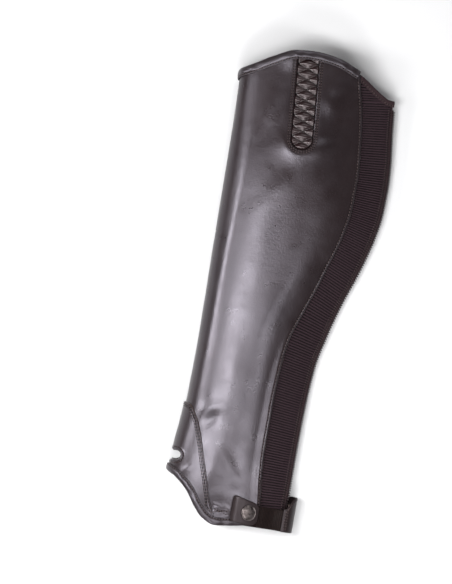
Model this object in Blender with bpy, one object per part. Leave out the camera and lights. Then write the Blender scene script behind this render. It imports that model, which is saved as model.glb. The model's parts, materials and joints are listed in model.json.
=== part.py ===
"""One half chap for the left leg, zipped and snapped shut, lying on its inner side.

The leather tube is a skin worked out from its flat outline and a few cross sections. Every sewn piece
is a wall on that skin, so neighbours keep their gaps. Lengths are millimetres until the meshes are made.
X runs from the shin fold (low) to the zip (high), Y up the leg, Z up from the surface it lies on.
"""

import math

import bmesh
import bpy
import numpy as np

METRES_PER_MM = 0.001

# Thicknesses and laps of the sewn pieces
LEATHER = 2.0
ANKLE_LEATHER = 1.4
ELASTIC = 1.2
LEATHER_BINDING = 0.9
CLOTH_BINDING = 0.7
TAPE = 0.7
SEAM_GAP = 0.3
LEG_GAP = 0.45
FOLD_EASE = 0.3
UNDER_GAP = 0.45
INSERT_GAP = 0.6
TOP_BINDING_DEPTH = 6.2
HEM_BINDING_DEPTH = 6.5
CLOTH_BINDING_DEPTH = 5.0
SHORT_LEG = 4.4
SEAM_LAP = 7.0

# Zip: heights are above the surface under the rear edge
ZIP_HEIGHT = 6.2
OUTER_END_RISE = 4.3
INNER_END_DROP = 5.3
CHAIN_HALF_HEIGHT = 1.5
CHAIN_HALF_DEPTH = 1.4
TAPE_REACH = 12.0
PANEL_TO_ZIP = 5.0
ZIP_FOOT = -196.5
TAPE_FOOT = -194.4
ZIP_HEAD = {1: 211.0, -1: 206.6}
SLIDER_SIZE = (2.0, 11.0, 8.0)
PULL_SIZE = (1.2, 17.0, 5.0)

# Quilting
QUILT_PITCH = 10.0
QUILT_RISE = 1.0
QUILT_HEIGHT = 2.3
INSERT_WALL = 1.2

# Strap and snap
STRAP_LEATHER = 1.8
STRAP_ELASTIC = 1.3
STRAP_CLEARANCE = 2.0
SNAP_RADIUS = 7.6
SNAP_HEIGHT = 2.8
SNAP_AT = (1.0, -197.5)

# The flat outline seen from above: a place along Y and the edge's X there
SHIN_EDGE = [
    (-215, -80.5), (-170, -80.5), (-150, -80.0), (-120, -77.5), (-100, -76.3), (-50, -75.5),
    (0, -76.0), (50, -76.8), (100, -77.4), (170, -78.3), (218, -80.0), (255, -81.5),
]
ZIP_EDGE = [
    (-215, 36.8), (-130, 36.8), (-90, 37.5), (-50, 40.0), (-20, 46.0), (0, 51.0), (20, 57.0), (40, 64.0),
    (60, 70.0), (80, 75.0), (105, 78.8), (130, 79.5), (150, 78.5), (180, 75.0), (210, 72.0), (255, 69.0),
]
ELASTIC_SEAM = [
    (-215, 12.0), (-187, 11.0), (-165, 8.0), (-130, 5.6), (-90, 5.6), (-60, 7.0), (-40, 9.0),
    (-25, 12.0), (-10, 17.0), (5, 22.0), (25, 29.0), (45, 35.0), (75, 44.0), (105, 49.0),
    (135, 49.5), (165, 47.0), (200, 42.0), (225, 36.0), (255, 29.0),
]

# Edges that run across the leg: the X and Y of their points
TOP_OUTER = [
    (-80, 218), (-78, 220.5), (-70, 225), (-50, 236.6), (-30, 245.6), (-10, 247.3), (10, 245), (34.5, 236),
]
TOP_INNER = [(-66, 211.5), (-53, 207.6), (-30, 205), (0, 205.2), (31, 208.3), (56, 211.7), (72, 213.3)]
TOP_ELASTIC = [(34.5, 233.6), (40, 230.5), (50, 223.5), (60, 217), (66, 214.3), (72, 214.0)]
HEM = [
    (-80.5, -170), (-75, -173), (-70, -176.5), (-60, -186), (-50, -200), (-42, -208.3),
    (-30, -213.4), (-14, -211.6), (5, -208), (25, -202), (36.8, -199.5),
]
ANKLE_SEAM = [
    (-77, -103), (-72, -104.5), (-64, -115), (-57, -131), (-49, -156), (-42, -178), (-38, -192), (-31, -205.5),
]

# Cross sections at places along Y: the crest's height and its share of the way across,
# the height of the shin fold's middle, and how far in the fold meets the surface below
SECTION_COLUMNS = ("y", "crest", "crest_share", "fold_height", "fold_reach")
SECTIONS = [
    (-215, 40, 0.40, 17, 22),
    (-170, 42, 0.40, 17, 22),
    (-100, 43, 0.42, 16, 23),
    (0, 44, 0.42, 16, 24),
    (110, 46, 0.42, 16, 26),
    (200, 41, 0.42, 15, 26),
    (255, 37, 0.42, 14, 26),
]
# What lies under the tube lifts it: bindings and the ankle's second layer, and the strap at the rear
LIFT = [(-215, 3.2), (-150, 3.1), (-104, 2.2), (-55, 0.0), (130, 0.0), (202, 1.9), (255, 1.9)]
STRAP_LIFT = [(-215, 1.2), (-170, 1.2), (-120, 0.0), (255, 0.0)]

# The insert's window: the middle of its round foot and of its top
WINDOW_TOP = (-17.4, 241.0)
WINDOW_FOOT = (-10.6, 163.5)
WINDOW_HALF_WIDTH = 10.4
INSERT_MARGIN = 4.6

# The flex notch through the shin fold
NOTCH_AT = -155.0
NOTCH_REACH = 9.0
NOTCH_HALF_HEIGHT = 4.6

# Colour, roughness and metallic value of each material
FINISHES = {
    "leather": ((0.060, 0.036, 0.032, 1), 0.38, 0.0),
    "elastic": ((0.040, 0.022, 0.026, 1), 0.85, 0.0),
    "strap_elastic": ((0.035, 0.022, 0.020, 1), 0.80, 0.0),
    "zip": ((0.080, 0.045, 0.045, 1), 0.70, 0.0),
    "inner_tape": ((0.015, 0.015, 0.017, 1), 0.90, 0.0),
    "pewter": ((0.30, 0.28, 0.27, 1), 0.38, 1.0),
}

OUTER_SIDE, INNER_SIDE = 1, -1
SIDES = (OUTER_SIDE, INNER_SIDE)
SKIN_Y = np.arange(-216.0, 256.0, 1.0)
SKIN_C = np.linspace(-1.0, 1.0, 241)
MATERIALS = {}


def smooth_line(rows):
    """A smooth curve through (place, value) rows, as a function of the place, with no bulge between rows."""
    place, value = np.array(sorted(rows), float).T
    rate = np.diff(value) / np.diff(place)
    before, after = rate[:-1], rate[1:]
    same_way = before * after > 0
    middle = np.where(same_way, 2 * before * after / np.where(same_way, before + after, 1), 0)
    slope = np.concatenate([rate[:1], middle, rate[-1:]])

    def read(at):
        at = np.clip(np.asarray(at, float), place[0], place[-1])
        i = np.clip(np.searchsorted(place, at) - 1, 0, len(place) - 2)
        span = place[i + 1] - place[i]
        u = (at - place[i]) / span
        start = (1 + 2 * u) * (1 - u) ** 2 * value[i] + u * (1 - u) ** 2 * span * slope[i]
        end = u * u * (3 - 2 * u) * value[i + 1] + u * u * (u - 1) * span * slope[i + 1]
        return start + end

    return read


def smoothstep(low, high, at):
    t = np.clip((np.asarray(at, float) - low) / (high - low), 0, 1)
    return t * t * (3 - 2 * t)


def bezier(p0, p1, p2, p3, count=40):
    t = np.linspace(0, 1, count)[:, None]
    p0, p1, p2, p3 = (np.array(p, float) for p in (p0, p1, p2, p3))
    return p0 * (1 - t) ** 3 + 3 * p1 * t * (1 - t) ** 2 + 3 * p2 * t * t * (1 - t) + p3 * t**3


shin_edge = smooth_line(SHIN_EDGE)
zip_edge = smooth_line(ZIP_EDGE)
elastic_seam = smooth_line(ELASTIC_SEAM)
lift = smooth_line(LIFT)
strap_lift = smooth_line(STRAP_LIFT)
section_value = {
    name: smooth_line([(row[0], row[k]) for row in SECTIONS]) for k, name in enumerate(SECTION_COLUMNS) if k
}


def rear_floor(y):
    """The height of the tube's underside near the zip."""
    return lift(y) + strap_lift(y)


def half_sections(y):
    """The outer and the inner half of the section at y, from the shin fold to the zip, as X and Z."""
    shin, rear = float(shin_edge(y)), float(zip_edge(y))
    crest, fold, reach = (float(section_value[name](y)) for name in ("crest", "fold_height", "fold_reach"))
    across = shin + float(section_value["crest_share"](y)) * (rear - shin)
    floor, floor_behind = float(lift(y)), float(rear_floor(y))
    zip_z = floor_behind + ZIP_HEIGHT
    nose, top = (shin, fold), (across, crest)
    outer_end, inner_end = (rear, zip_z + OUTER_END_RISE), (rear, zip_z - INNER_END_DROP)
    over_fold = bezier(
        nose, (shin, fold + 0.62 * (crest - fold)), (across - 0.60 * (across - shin), crest), top
    )
    to_zip = bezier(top, (across + 0.45 * (rear - across), crest), (rear - 17, outer_end[1] + 9), outer_end)
    under_fold = bezier(
        nose, (shin, floor + 0.42 * (fold - floor)), (shin + 0.42 * reach, floor), (shin + reach, floor)
    )
    flat = bezier(
        (shin + reach, floor), (shin + reach + 20, floor), (rear - 34, floor_behind), (rear - 14, floor_behind)
    )
    up_to_zip = bezier((rear - 14, floor_behind), (rear - 9, floor_behind), (rear - 4, floor_behind), inner_end)
    return np.vstack([over_fold, to_zip[1:]]), np.vstack([under_fold, flat[1:], up_to_zip[1:]])


def build_skin():
    """The skin as a table of X and Z over the places along Y and the shares c of the way to the zip.

    c is 1 at the zip on the outer side, 0 at the shin fold and -1 at the zip on the inner side.
    """
    table = np.zeros((len(SKIN_Y), len(SKIN_C), 2))
    lengths = np.zeros((len(SKIN_Y), 2))
    for i, y in enumerate(SKIN_Y):
        for k, (half, side) in enumerate(zip(half_sections(y), SIDES)):
            walked = np.concatenate([[0], np.cumsum(np.linalg.norm(np.diff(half, axis=0), axis=1))])
            lengths[i, k] = walked[-1]
            here = SKIN_C * side >= 0
            for axis in range(2):
                table[i, here, axis] = np.interp(np.abs(SKIN_C[here]) * walked[-1], walked, half[:, axis])
    return table, lengths


SKIN, HALF_LENGTHS = build_skin()


def half_length(y, side):
    """Length from the shin fold to the zip at y, over the outer or the inner side."""
    return np.interp(y, SKIN_Y, HALF_LENGTHS[:, SIDES.index(side)])


def on_skin(c, y):
    c, y = np.broadcast_arrays(np.asarray(c, float), np.asarray(y, float))
    row = np.clip((y - SKIN_Y[0]) / (SKIN_Y[1] - SKIN_Y[0]), 0, len(SKIN_Y) - 1.001)
    col = np.clip((c - SKIN_C[0]) / (SKIN_C[1] - SKIN_C[0]), 0, len(SKIN_C) - 1.001)
    i, j = row.astype(int), col.astype(int)
    u, v = (row - i)[..., None], (col - j)[..., None]
    low = SKIN[i, j] * (1 - v) + SKIN[i, j + 1] * v
    high = SKIN[i + 1, j] * (1 - v) + SKIN[i + 1, j + 1] * v
    xz = low * (1 - u) + high * u
    return np.stack([xz[..., 0], y, xz[..., 1]], axis=-1)


def off_skin(c, y, out):
    """The point at c and y, moved off the skin by out: outwards above 0, inwards below it."""
    c, y = np.broadcast_arrays(np.asarray(c, float), np.asarray(y, float))
    across = on_skin(np.minimum(c + 0.012, 1), y) - on_skin(np.maximum(c - 0.012, -1), y)
    along = on_skin(c, y + 1.5) - on_skin(c, y - 1.5)
    normal = np.cross(across, along)
    normal /= np.linalg.norm(normal, axis=-1, keepdims=True)
    return on_skin(c, y) + normal * np.broadcast_to(np.asarray(out, float), c.shape)[..., None]


def share_at(x, y, side):
    """The share c at which the skin's outer or inner side passes over x at y."""
    shares = np.linspace(0, side, 400)
    return float(np.interp(x, on_skin(shares, np.full(400, float(y)))[:, 0], shares))


def zip_share(y, side, distance):
    """The share c at a distance from the zip, over one side."""
    return side * (1 - distance / half_length(y, side))


def edge_by_share(*sided_rows):
    """An edge drawn from above, as a function of c. Each argument is a side and its points."""
    return smooth_line([(share_at(x, y, side), y) for side, points in sided_rows for x, y in points])


top_edge = edge_by_share((INNER_SIDE, TOP_INNER), (OUTER_SIDE, TOP_OUTER))
elastic_top_edge = edge_by_share((OUTER_SIDE, TOP_ELASTIC))
hem_edge = edge_by_share((INNER_SIDE, HEM[1:]), (OUTER_SIDE, HEM))
ankle_seam = edge_by_share((INNER_SIDE, ANKLE_SEAM[1:]), (OUTER_SIDE, ANKLE_SEAM))
seam_share = smooth_line([(y, share_at(elastic_seam(y), y, OUTER_SIDE)) for y in np.arange(-214.0, 250.0, 8.0)])
ANKLE_END = {side: share_at(*ANKLE_SEAM[-1], side) for side in SIDES}


def moved(c, y, distance):
    """The share c on the outer side, moved along the section by a distance towards the zip."""
    return c + distance / half_length(y, OUTER_SIDE)


def make_materials():
    for name, (colour, roughness, metallic) in FINISHES.items():
        material = bpy.data.materials.new(name)
        material.use_nodes = True
        shader = material.node_tree.nodes["Principled BSDF"]
        shader.inputs["Base Color"].default_value = colour
        shader.inputs["Roughness"].default_value = roughness
        shader.inputs["Metallic"].default_value = metallic
        MATERIALS[name] = material


def new_object(name, verts, faces, finish):
    mesh = bpy.data.meshes.new(name)
    mesh.from_pydata([tuple(p * METRES_PER_MM) for p in verts], [], faces)
    work = bmesh.new()
    work.from_mesh(mesh)
    bmesh.ops.recalc_face_normals(work, faces=work.faces)
    work.to_mesh(mesh)
    work.free()
    mesh.shade_smooth()
    mesh.set_sharp_from_angle(angle=math.radians(35))
    mesh.materials.append(MATERIALS[finish])
    thing = bpy.data.objects.new(name, mesh)
    bpy.context.scene.collection.objects.link(thing)
    return thing


def wall(name, c, y, outer, inner, finish):
    """A closed wall over a grid of places on the skin, between an outer and an inner offset."""
    rows, cols = c.shape
    verts = np.vstack([off_skin(c, y, outer).reshape(-1, 3), off_skin(c, y, inner).reshape(-1, 3)])
    under = rows * cols
    faces = []
    for i in range(rows - 1):
        for j in range(cols - 1):
            a = i * cols + j
            faces.append((a, a + 1, a + 1 + cols, a + cols))
            faces.append((a + under, a + cols + under, a + 1 + cols + under, a + 1 + under))
    rim = [j for j in range(cols)] + [i * cols + cols - 1 for i in range(1, rows)]
    rim += [(rows - 1) * cols + j for j in range(cols - 2, -1, -1)] + [i * cols for i in range(rows - 2, 0, -1)]
    faces += [(a, b, b + under, a + under) for a, b in zip(rim, rim[1:] + rim[:1])]
    return new_object(name, verts, faces, finish)


def sweep(name, rings, finish):
    """A closed solid through rings of equally many points, each end closed by quads across it."""
    count = len(rings[0])
    faces = []
    for k in range(len(rings) - 1):
        for j in range(count):
            a, b = k * count + j, k * count + (j + 1) % count
            faces.append((a, b, b + count, a + count))
    for start in (0, (len(rings) - 1) * count):
        for j in range(count // 2 - 1):
            faces.append((start + j, start + j + 1, start + count - 2 - j, start + count - 1 - j))
    return new_object(name, [p for ring in rings for p in ring], faces, finish)


def folded_binding(name, c, edge_y, panel_side, panel_out, panel_in, thick, depths, finish, least_share=None):
    """A strip folded over a panel's edge: an outer leg, the fold and an inner leg.

    panel_side is -1 where the panel lies below the edge along Y, and 1 where it lies above it.
    depths are the reach of the outer and of the inner leg. least_share gives the share that the
    strip starts from at each y, where it butts against another piece.
    """
    reach = np.where(c >= 0, half_length(edge_y, OUTER_SIDE), half_length(edge_y, INNER_SIDE))
    run, rise = np.gradient(c * reach), np.gradient(edge_y)
    length = np.hypot(run, rise)
    step_c, step_y = -rise / length * panel_side / reach, run / length * panel_side
    fold_in = -SEAM_GAP - thick
    corner_in = -SEAM_GAP - 0.35 * thick
    middle = 0.5 * (panel_out + panel_in)
    gap = LEG_GAP + FOLD_EASE * np.exp(-((c / 0.12) ** 2))
    profile = [
        (depths[0], panel_out + gap + thick), (corner_in, panel_out + gap + thick),
        (fold_in, panel_out + 0.5 * gap), (fold_in, panel_in - 0.5 * gap),
        (corner_in, panel_in - gap - thick), (depths[1], panel_in - gap - thick),
        (depths[1], panel_in - gap), (-SEAM_GAP, panel_in - gap),
        (-SEAM_GAP, middle - 0.1), (-SEAM_GAP, middle + 0.1),
        (-SEAM_GAP, panel_out + gap), (depths[0], panel_out + gap),
    ]
    loops = []
    for into, out in profile:
        leg_c, leg_y = c + step_c * into, edge_y + step_y * into
        if least_share:
            leg_c = np.maximum(leg_c, least_share(leg_y))
        loops.append(off_skin(leg_c, leg_y, out))
    return sweep(name, [[loop[k] for loop in loops] for k in range(len(c))], finish)


def cut_away(thing, cutter):
    cut = thing.modifiers.new("cut", "BOOLEAN")
    cut.operation = "DIFFERENCE"
    cut.object = cutter
    cut.solver = "EXACT"


def upright_cutter(name, outline, low, high):
    """A prism over an outline seen from above, hidden, for cutting."""
    count = len(outline)
    verts = [np.array([x, y, z], float) for z in (low, high) for x, y in outline]
    faces = [tuple(range(count))[::-1], tuple(range(count, 2 * count))]
    faces += [(k, (k + 1) % count, count + (k + 1) % count, count + k) for k in range(count)]
    cutter = new_object(name, verts, faces, "leather")
    cutter.hide_render = True
    cutter.display_type = "WIRE"
    return cutter


def window_axes():
    foot, top = np.array(WINDOW_FOOT), np.array(WINDOW_TOP)
    length = float(np.linalg.norm(top - foot))
    up = (top - foot) / length
    return foot, up, np.array([up[1], -up[0]]), length


def window_cutter(steps=12):
    """A slot with a round foot, cut through the outer side only."""
    foot, up, right, length = window_axes()
    turns = [math.pi * k / steps for k in range(steps + 1)]
    arc = [foot + WINDOW_HALF_WIDTH * (right * math.cos(a) - up * math.sin(a)) for a in turns]
    head = foot + up * length
    outline = [head + right * WINDOW_HALF_WIDTH, *arc, head - right * WINDOW_HALF_WIDTH]
    return upright_cutter("window_cutter", [tuple(p) for p in outline], 19.0, 80.0)


def notch_cutter(steps=12):
    """A slot with a round end, cut through the shin fold on both sides."""
    shin = float(shin_edge(NOTCH_AT))
    middle = shin + NOTCH_REACH - NOTCH_HALF_HEIGHT
    turns = [math.pi * (k / steps - 0.5) for k in range(steps + 1)]
    half = NOTCH_HALF_HEIGHT
    arc = [(middle + half * math.cos(a), NOTCH_AT + half * math.sin(a)) for a in turns]
    mouth = shin - 9
    outline = [(mouth, NOTCH_AT - half), *arc, (mouth, NOTCH_AT + half)]
    return upright_cutter("notch_cutter", outline, -5.0, 60.0)


# Shares of the way to the zip at which the leather has its points, up to where the columns lean to the seam
FIXED_SHARES = np.array([
    -0.90, -0.70, -0.50, -0.36, -0.27, -0.20, -0.15, -0.11, -0.075, -0.045, -0.015,
    0.015, 0.045, 0.075, 0.11, 0.15, 0.20, 0.26, 0.33, 0.40,
])
LEANING_COLUMNS = 6


def leaning_shares(y):
    """Shares from the last fixed one to the elastic's seam at y, one for each leaning column."""
    steps = np.arange(1, LEANING_COLUMNS + 1) / LEANING_COLUMNS
    return FIXED_SHARES[-1] + (float(seam_share(y)) - FIXED_SHARES[-1]) * steps


def leather_edge_shares(y_at_seam, first):
    """The leather's points along an edge that runs across the leg, from first to the elastic's seam."""
    return np.array([first, *FIXED_SHARES, *leaning_shares(y_at_seam)])


def main_panel(window, notch):
    """The leather from the elastic's seam round the shin to the zip, as one cut piece."""
    rows = 27
    top_shares = leather_edge_shares(TOP_OUTER[-1][1], zip_share(213.0, INNER_SIDE, PANEL_TO_ZIP))
    hem_shares = leather_edge_shares(-207.0, zip_share(-200.0, INNER_SIDE, PANEL_TO_ZIP))
    columns = []
    for k, (top_c, hem_c) in enumerate(zip(top_shares, hem_shares)):
        y = np.linspace(float(hem_edge(hem_c)), float(top_edge(top_c)), rows)
        if k == 0:
            c = zip_share(y, INNER_SIDE, PANEL_TO_ZIP)
        elif k <= len(FIXED_SHARES):
            c = np.full(rows, top_c)
        else:
            last, lean = FIXED_SHARES[-1], (k - len(FIXED_SHARES)) / LEANING_COLUMNS
            c = last + (seam_share(y) - last) * lean
        columns.append((c, y))
    c, y = (np.array([column[axis] for column in columns]).T for axis in range(2))
    panel = wall("main_panel", c, y, 0.0, -LEATHER, "leather")
    cut_away(panel, window)
    cut_away(panel, notch)


def ankle_panel(notch):
    """A second layer round the instep, on the main panel."""
    low, high = ANKLE_END[INNER_SIDE], ANKLE_END[OUTER_SIDE]
    shares = np.array([low, *[s for s in FIXED_SHARES if low + 0.02 < s < high - 0.02], high])
    t = np.linspace(0, 1, 9)[:, None]
    bottom, top = hem_edge(shares), ankle_seam(shares)
    y = bottom + (top - bottom) * t
    c = np.broadcast_to(shares, y.shape)
    panel = wall("ankle_panel", c, y, SEAM_GAP + ANKLE_LEATHER, SEAM_GAP, "leather")
    cut_away(panel, notch)


def quilt_relief(along, across):
    """Height from 0 to 1 of the puffs between crossed stitch lines.

    along is in millimetres up the insert, and across runs from -1 at one side to 1 at the other.
    """
    rising = (along / QUILT_PITCH + across * 0.5) % 1.0
    falling = (along / QUILT_PITCH - across * 0.5) % 1.0
    return (math.sin(math.pi * rising) * math.sin(math.pi * falling)) ** 0.6


def quilted_insert():
    """The padded leather behind the window, raised in puffs between crossed stitch lines."""
    foot, up, right, length = window_axes()
    half, full = WINDOW_HALF_WIDTH, WINDOW_HALF_WIDTH + INSERT_MARGIN
    side_marks = (0.24, 0.48, 0.72, 0.97, full / half)
    across_marks = [-m for m in reversed(side_marks)] + [0.0] + list(side_marks)
    along_marks = [-1.4 * half, -0.97 * half, -0.75 * half, -0.5 * half, -0.25 * half]
    along_marks += list(np.linspace(0.0, length - 1.2, 33)) + [length + 3.0]
    shape = (len(along_marks), len(across_marks))
    c, y, out = np.zeros(shape), np.zeros(shape), np.zeros(shape)
    for i, along in enumerate(along_marks):
        past_foot = max(0.0, -along)
        room = math.sqrt(1 - (past_foot / full) ** 2)
        for j, across in enumerate(across_marks):
            place = foot + up * along + right * across * half * room
            place[1] = min(place[1], float(top_edge(share_at(place[0], 243.0, OUTER_SIDE))) - SHORT_LEG - 0.8)
            c[i, j], y[i, j] = share_at(*place, OUTER_SIDE), place[1]
            clear = 1 - math.hypot(past_foot, across * room * half) / half - 0.01 * past_foot
            inside = float(smoothstep(0.03, 0.28, clear)) * float(smoothstep(0.0, 3.0, length - along))
            out[i, j] = inside * (QUILT_RISE + QUILT_HEIGHT * quilt_relief(along + 2.5, across * room))
    under = -LEATHER - INSERT_GAP
    wall("quilted_insert", c, y, under + out, under - INSERT_WALL, "leather")


def elastic_offset(c, y):
    """How far the elastic's face lies off the skin: under the leather at its seam, on the skin at the zip."""
    seam = seam_share(y)
    return -(LEATHER + UNDER_GAP) * (1 - smoothstep(0, 1, (c - seam) / (1 - seam)))


def past_leather(y):
    """The share just past the leather's rear edge at y."""
    return moved(seam_share(y), y, SEAM_GAP + 0.5)


# How far up the leg the elastic's seam end of a row lies from its zip end, at places along the zip
ROW_SLANT = smooth_line([
    (-199, -6.5), (-185, -2.0), (-120, 3.0), (-40, 7.0), (20, 12.0), (70, 9.0), (110, 2.0), (150, -3.0),
    (213, -5.0),
])


def elastic_panel():
    """Elastic from under the leather's rear edge to the zip. Its last rows end on the sloping top edge."""
    corner_y, foot_y, seam_top_y = 213.0, -199.0, 229.5
    ends = []
    for y in np.linspace(foot_y, corner_y, 26):
        left_y = y + float(ROW_SLANT(y))
        left_c = moved(seam_share(left_y), left_y, -SEAM_LAP)
        ends.append((left_c, left_y, zip_share(y, OUTER_SIDE, PANEL_TO_ZIP), y))
    corner_c = zip_share(corner_y, OUTER_SIDE, PANEL_TO_ZIP)
    top_c = share_at(36.5, 232.0, OUTER_SIDE)
    for t in np.linspace(0, 1, 7)[1:]:
        left_y = 208.0 + (seam_top_y - 208.0) * t
        c = corner_c + (top_c - corner_c) * t
        ends.append((moved(seam_share(left_y), left_y, -SEAM_LAP), left_y, c, float(elastic_top_edge(c))))
    left_c, left_y, right_c, right_y = np.array(ends, float).T[:, :, None]
    marks = np.array([[0.0, 0.18, 0.36, 0.55, 0.75, 0.9, 1.0]])
    c = left_c * (1 - marks) + right_c * marks
    y = left_y * (1 - marks) + right_y * marks
    base = elastic_offset(c, y)
    wall("elastic_panel", c, y, base, base - ELASTIC, "elastic")


def bindings():
    """Leather strips over the top edge and the hem, and a cloth tape over the elastic's top edge."""
    shares = leather_edge_shares(TOP_OUTER[-1][1], zip_share(213.0, INNER_SIDE, PANEL_TO_ZIP))
    over_elastic = moved(shares[-1], TOP_OUTER[-1][1], -SEAM_LAP - 3.5)
    inner = np.where(shares > over_elastic, -LEATHER - UNDER_GAP - ELASTIC, -LEATHER)
    folded_binding(
        "top_binding", shares, top_edge(shares), -1, np.zeros(len(shares)), inner, LEATHER_BINDING,
        (TOP_BINDING_DEPTH, SHORT_LEG), "leather",
    )
    shares = np.linspace(past_leather(233.0), zip_share(213.0, OUTER_SIDE, 1.2), 12)
    edge = elastic_top_edge(shares)
    out = elastic_offset(shares, edge)
    folded_binding(
        "elastic_binding", shares, edge, -1, out, out - ELASTIC, CLOTH_BINDING,
        (CLOTH_BINDING_DEPTH, 2.2), "elastic", past_leather,
    )
    shares = leather_edge_shares(-207.0, zip_share(-200.0, INNER_SIDE, PANEL_TO_ZIP))
    beside_ankle = [end + step for end in ANKLE_END.values() for step in (-0.012, 0.012)]
    shares = np.array(sorted([*shares, *beside_ankle]))
    on_ankle = (shares > ANKLE_END[INNER_SIDE] - 0.02) & (shares < ANKLE_END[OUTER_SIDE] + 0.02)
    outer = np.where(on_ankle, SEAM_GAP + ANKLE_LEATHER, 0.0)
    on_elastic = shares > moved(shares[-1], -207.0, -SEAM_LAP - 3.5)
    inner = np.where(on_elastic, -LEATHER - UNDER_GAP - ELASTIC, -LEATHER)
    folded_binding(
        "hem_binding", shares, hem_edge(shares), 1, outer, inner, LEATHER_BINDING,
        (HEM_BINDING_DEPTH, SHORT_LEG), "leather",
    )


def zip_pieces():
    """Two tapes, the closed chain between them and the slider parked at its foot."""
    marks = np.array([[1.0, 0.6, 0.25, 0.08]])
    for name, side in (("zip_tape_outer", OUTER_SIDE), ("zip_tape_inner", INNER_SIDE)):
        y = np.linspace(TAPE_FOOT, ZIP_HEAD[side], 24)[:, None]
        c = side * (1 - TAPE_REACH * marks / half_length(y, side))
        y = np.broadcast_to(y, c.shape)
        base = elastic_offset(c, y) - ELASTIC if side == OUTER_SIDE else np.full(c.shape, -LEATHER)
        wall(name, c, y, base - UNDER_GAP, base - UNDER_GAP - TAPE, "zip")
    rings = []
    for y in np.linspace(ZIP_FOOT, ZIP_HEAD[INNER_SIDE], 24):
        middle = np.array([zip_edge(y) - CHAIN_HALF_DEPTH + 0.5, y, rear_floor(y) + ZIP_HEIGHT])
        turns = [math.tau * (j + 0.5) / 8 for j in range(8)]
        bar = [(CHAIN_HALF_DEPTH * math.cos(a), CHAIN_HALF_HEIGHT * math.sin(a)) for a in turns]
        rings.append([middle + np.array([dx, 0, dz]) for dx, dz in bar])
    sweep("zip_chain", rings, "zip")
    foot = -194.0
    back = float(zip_edge(foot)) + 0.5 + SEAM_GAP
    height = float(rear_floor(foot)) + ZIP_HEIGHT
    slider_and_pull(back, foot, height)


def slider_and_pull(back, foot, height):
    """The slider's outer plate with its pull hanging down over it, as one closed stepped outline."""
    plate, long, tall = SLIDER_SIZE
    pull, pull_long, pull_tall = PULL_SIZE
    pull_top = foot + 0.6 * long
    outline = [
        (0, foot + long), (plate, foot + long), (plate, pull_top), (plate + pull, pull_top),
        (plate + pull, pull_top - pull_long), (plate, pull_top - pull_long), (plate, foot), (0, foot),
    ]
    half = {0: 0.5 * tall, plate: 0.5 * tall, plate + pull: 0.5 * pull_tall}
    low = [np.array([back + x, y, height - half[x]]) for x, y in outline]
    high = [np.array([back + x, y, height + half[x]]) for x, y in outline]
    count = len(outline)
    faces = [(k, (k + 1) % count, count + (k + 1) % count, count + k) for k in range(count)]
    for start in (0, count):
        faces.append((start, start + 1, start + 6, start + 7))
        faces.append((start + 1, start + 2, start + 5, start + 6))
        faces.append((start + 2, start + 3, start + 4, start + 5))
    new_object("zip_slider", low + high, faces, "pewter")


def inner_tapes():
    """Flat elastic tapes sewn inside: one along each side of the insert and one along the elastic's seam."""
    foot, up, right, length = window_axes()
    half_width = 3.3
    under = -LEATHER - INSERT_GAP - INSERT_WALL - SEAM_GAP - 0.2
    for name, side in (("insert_tape_front", -1), ("insert_tape_rear", 1)):
        along = np.linspace(-8.0, length - 4.0, 14)
        c, y = np.zeros((len(along), 3)), np.zeros((len(along), 3))
        for i, mark in enumerate(along):
            for j, across in enumerate((-half_width, 0.0, half_width)):
                place = foot + up * mark + right * (side * (WINDOW_HALF_WIDTH + 4.0) + across)
                c[i, j], y[i, j] = share_at(*place, OUTER_SIDE), place[1]
        wall(name, c, y, under, under - TAPE, "inner_tape")
    y = np.linspace(-198.0, 224.0, 26)[:, None]
    middle = moved(seam_share(y), y, -0.5 * SEAM_LAP)
    c = middle + np.array([[-half_width, 0.0, half_width]]) / half_length(y, OUTER_SIDE)
    y = np.broadcast_to(y, c.shape)
    under = -LEATHER - UNDER_GAP - ELASTIC - SEAM_GAP
    wall("seam_tape", c, y, under, under - TAPE, "inner_tape")


def ribbon(name, path, low, high, thick, finish):
    """A strap along a path in X and Z, between two edges along Y, thick on its outer side."""
    path = np.array(path, float)
    tangent = np.gradient(path, axis=0)
    tangent /= np.linalg.norm(tangent, axis=1, keepdims=True)
    far = path + np.stack([tangent[:, 1], -tangent[:, 0]], axis=1) * thick
    rings = []
    for near_point, far_point, y0, y1 in zip(path, far, low, high):
        corners = ((near_point, y0), (far_point, y0), (far_point, y1), (near_point, y1))
        rings.append([np.array([point[0], y, point[1]]) for point, y in corners])
    return sweep(name, rings, finish)


def height_over(x):
    """The height of the chap's outer side under the strap at x, at the highest place across the strap."""
    return max(float(on_skin(share_at(x, y, OUTER_SIDE), y)[2]) for y in (-209.0, -198.0, -187.0))


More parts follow.
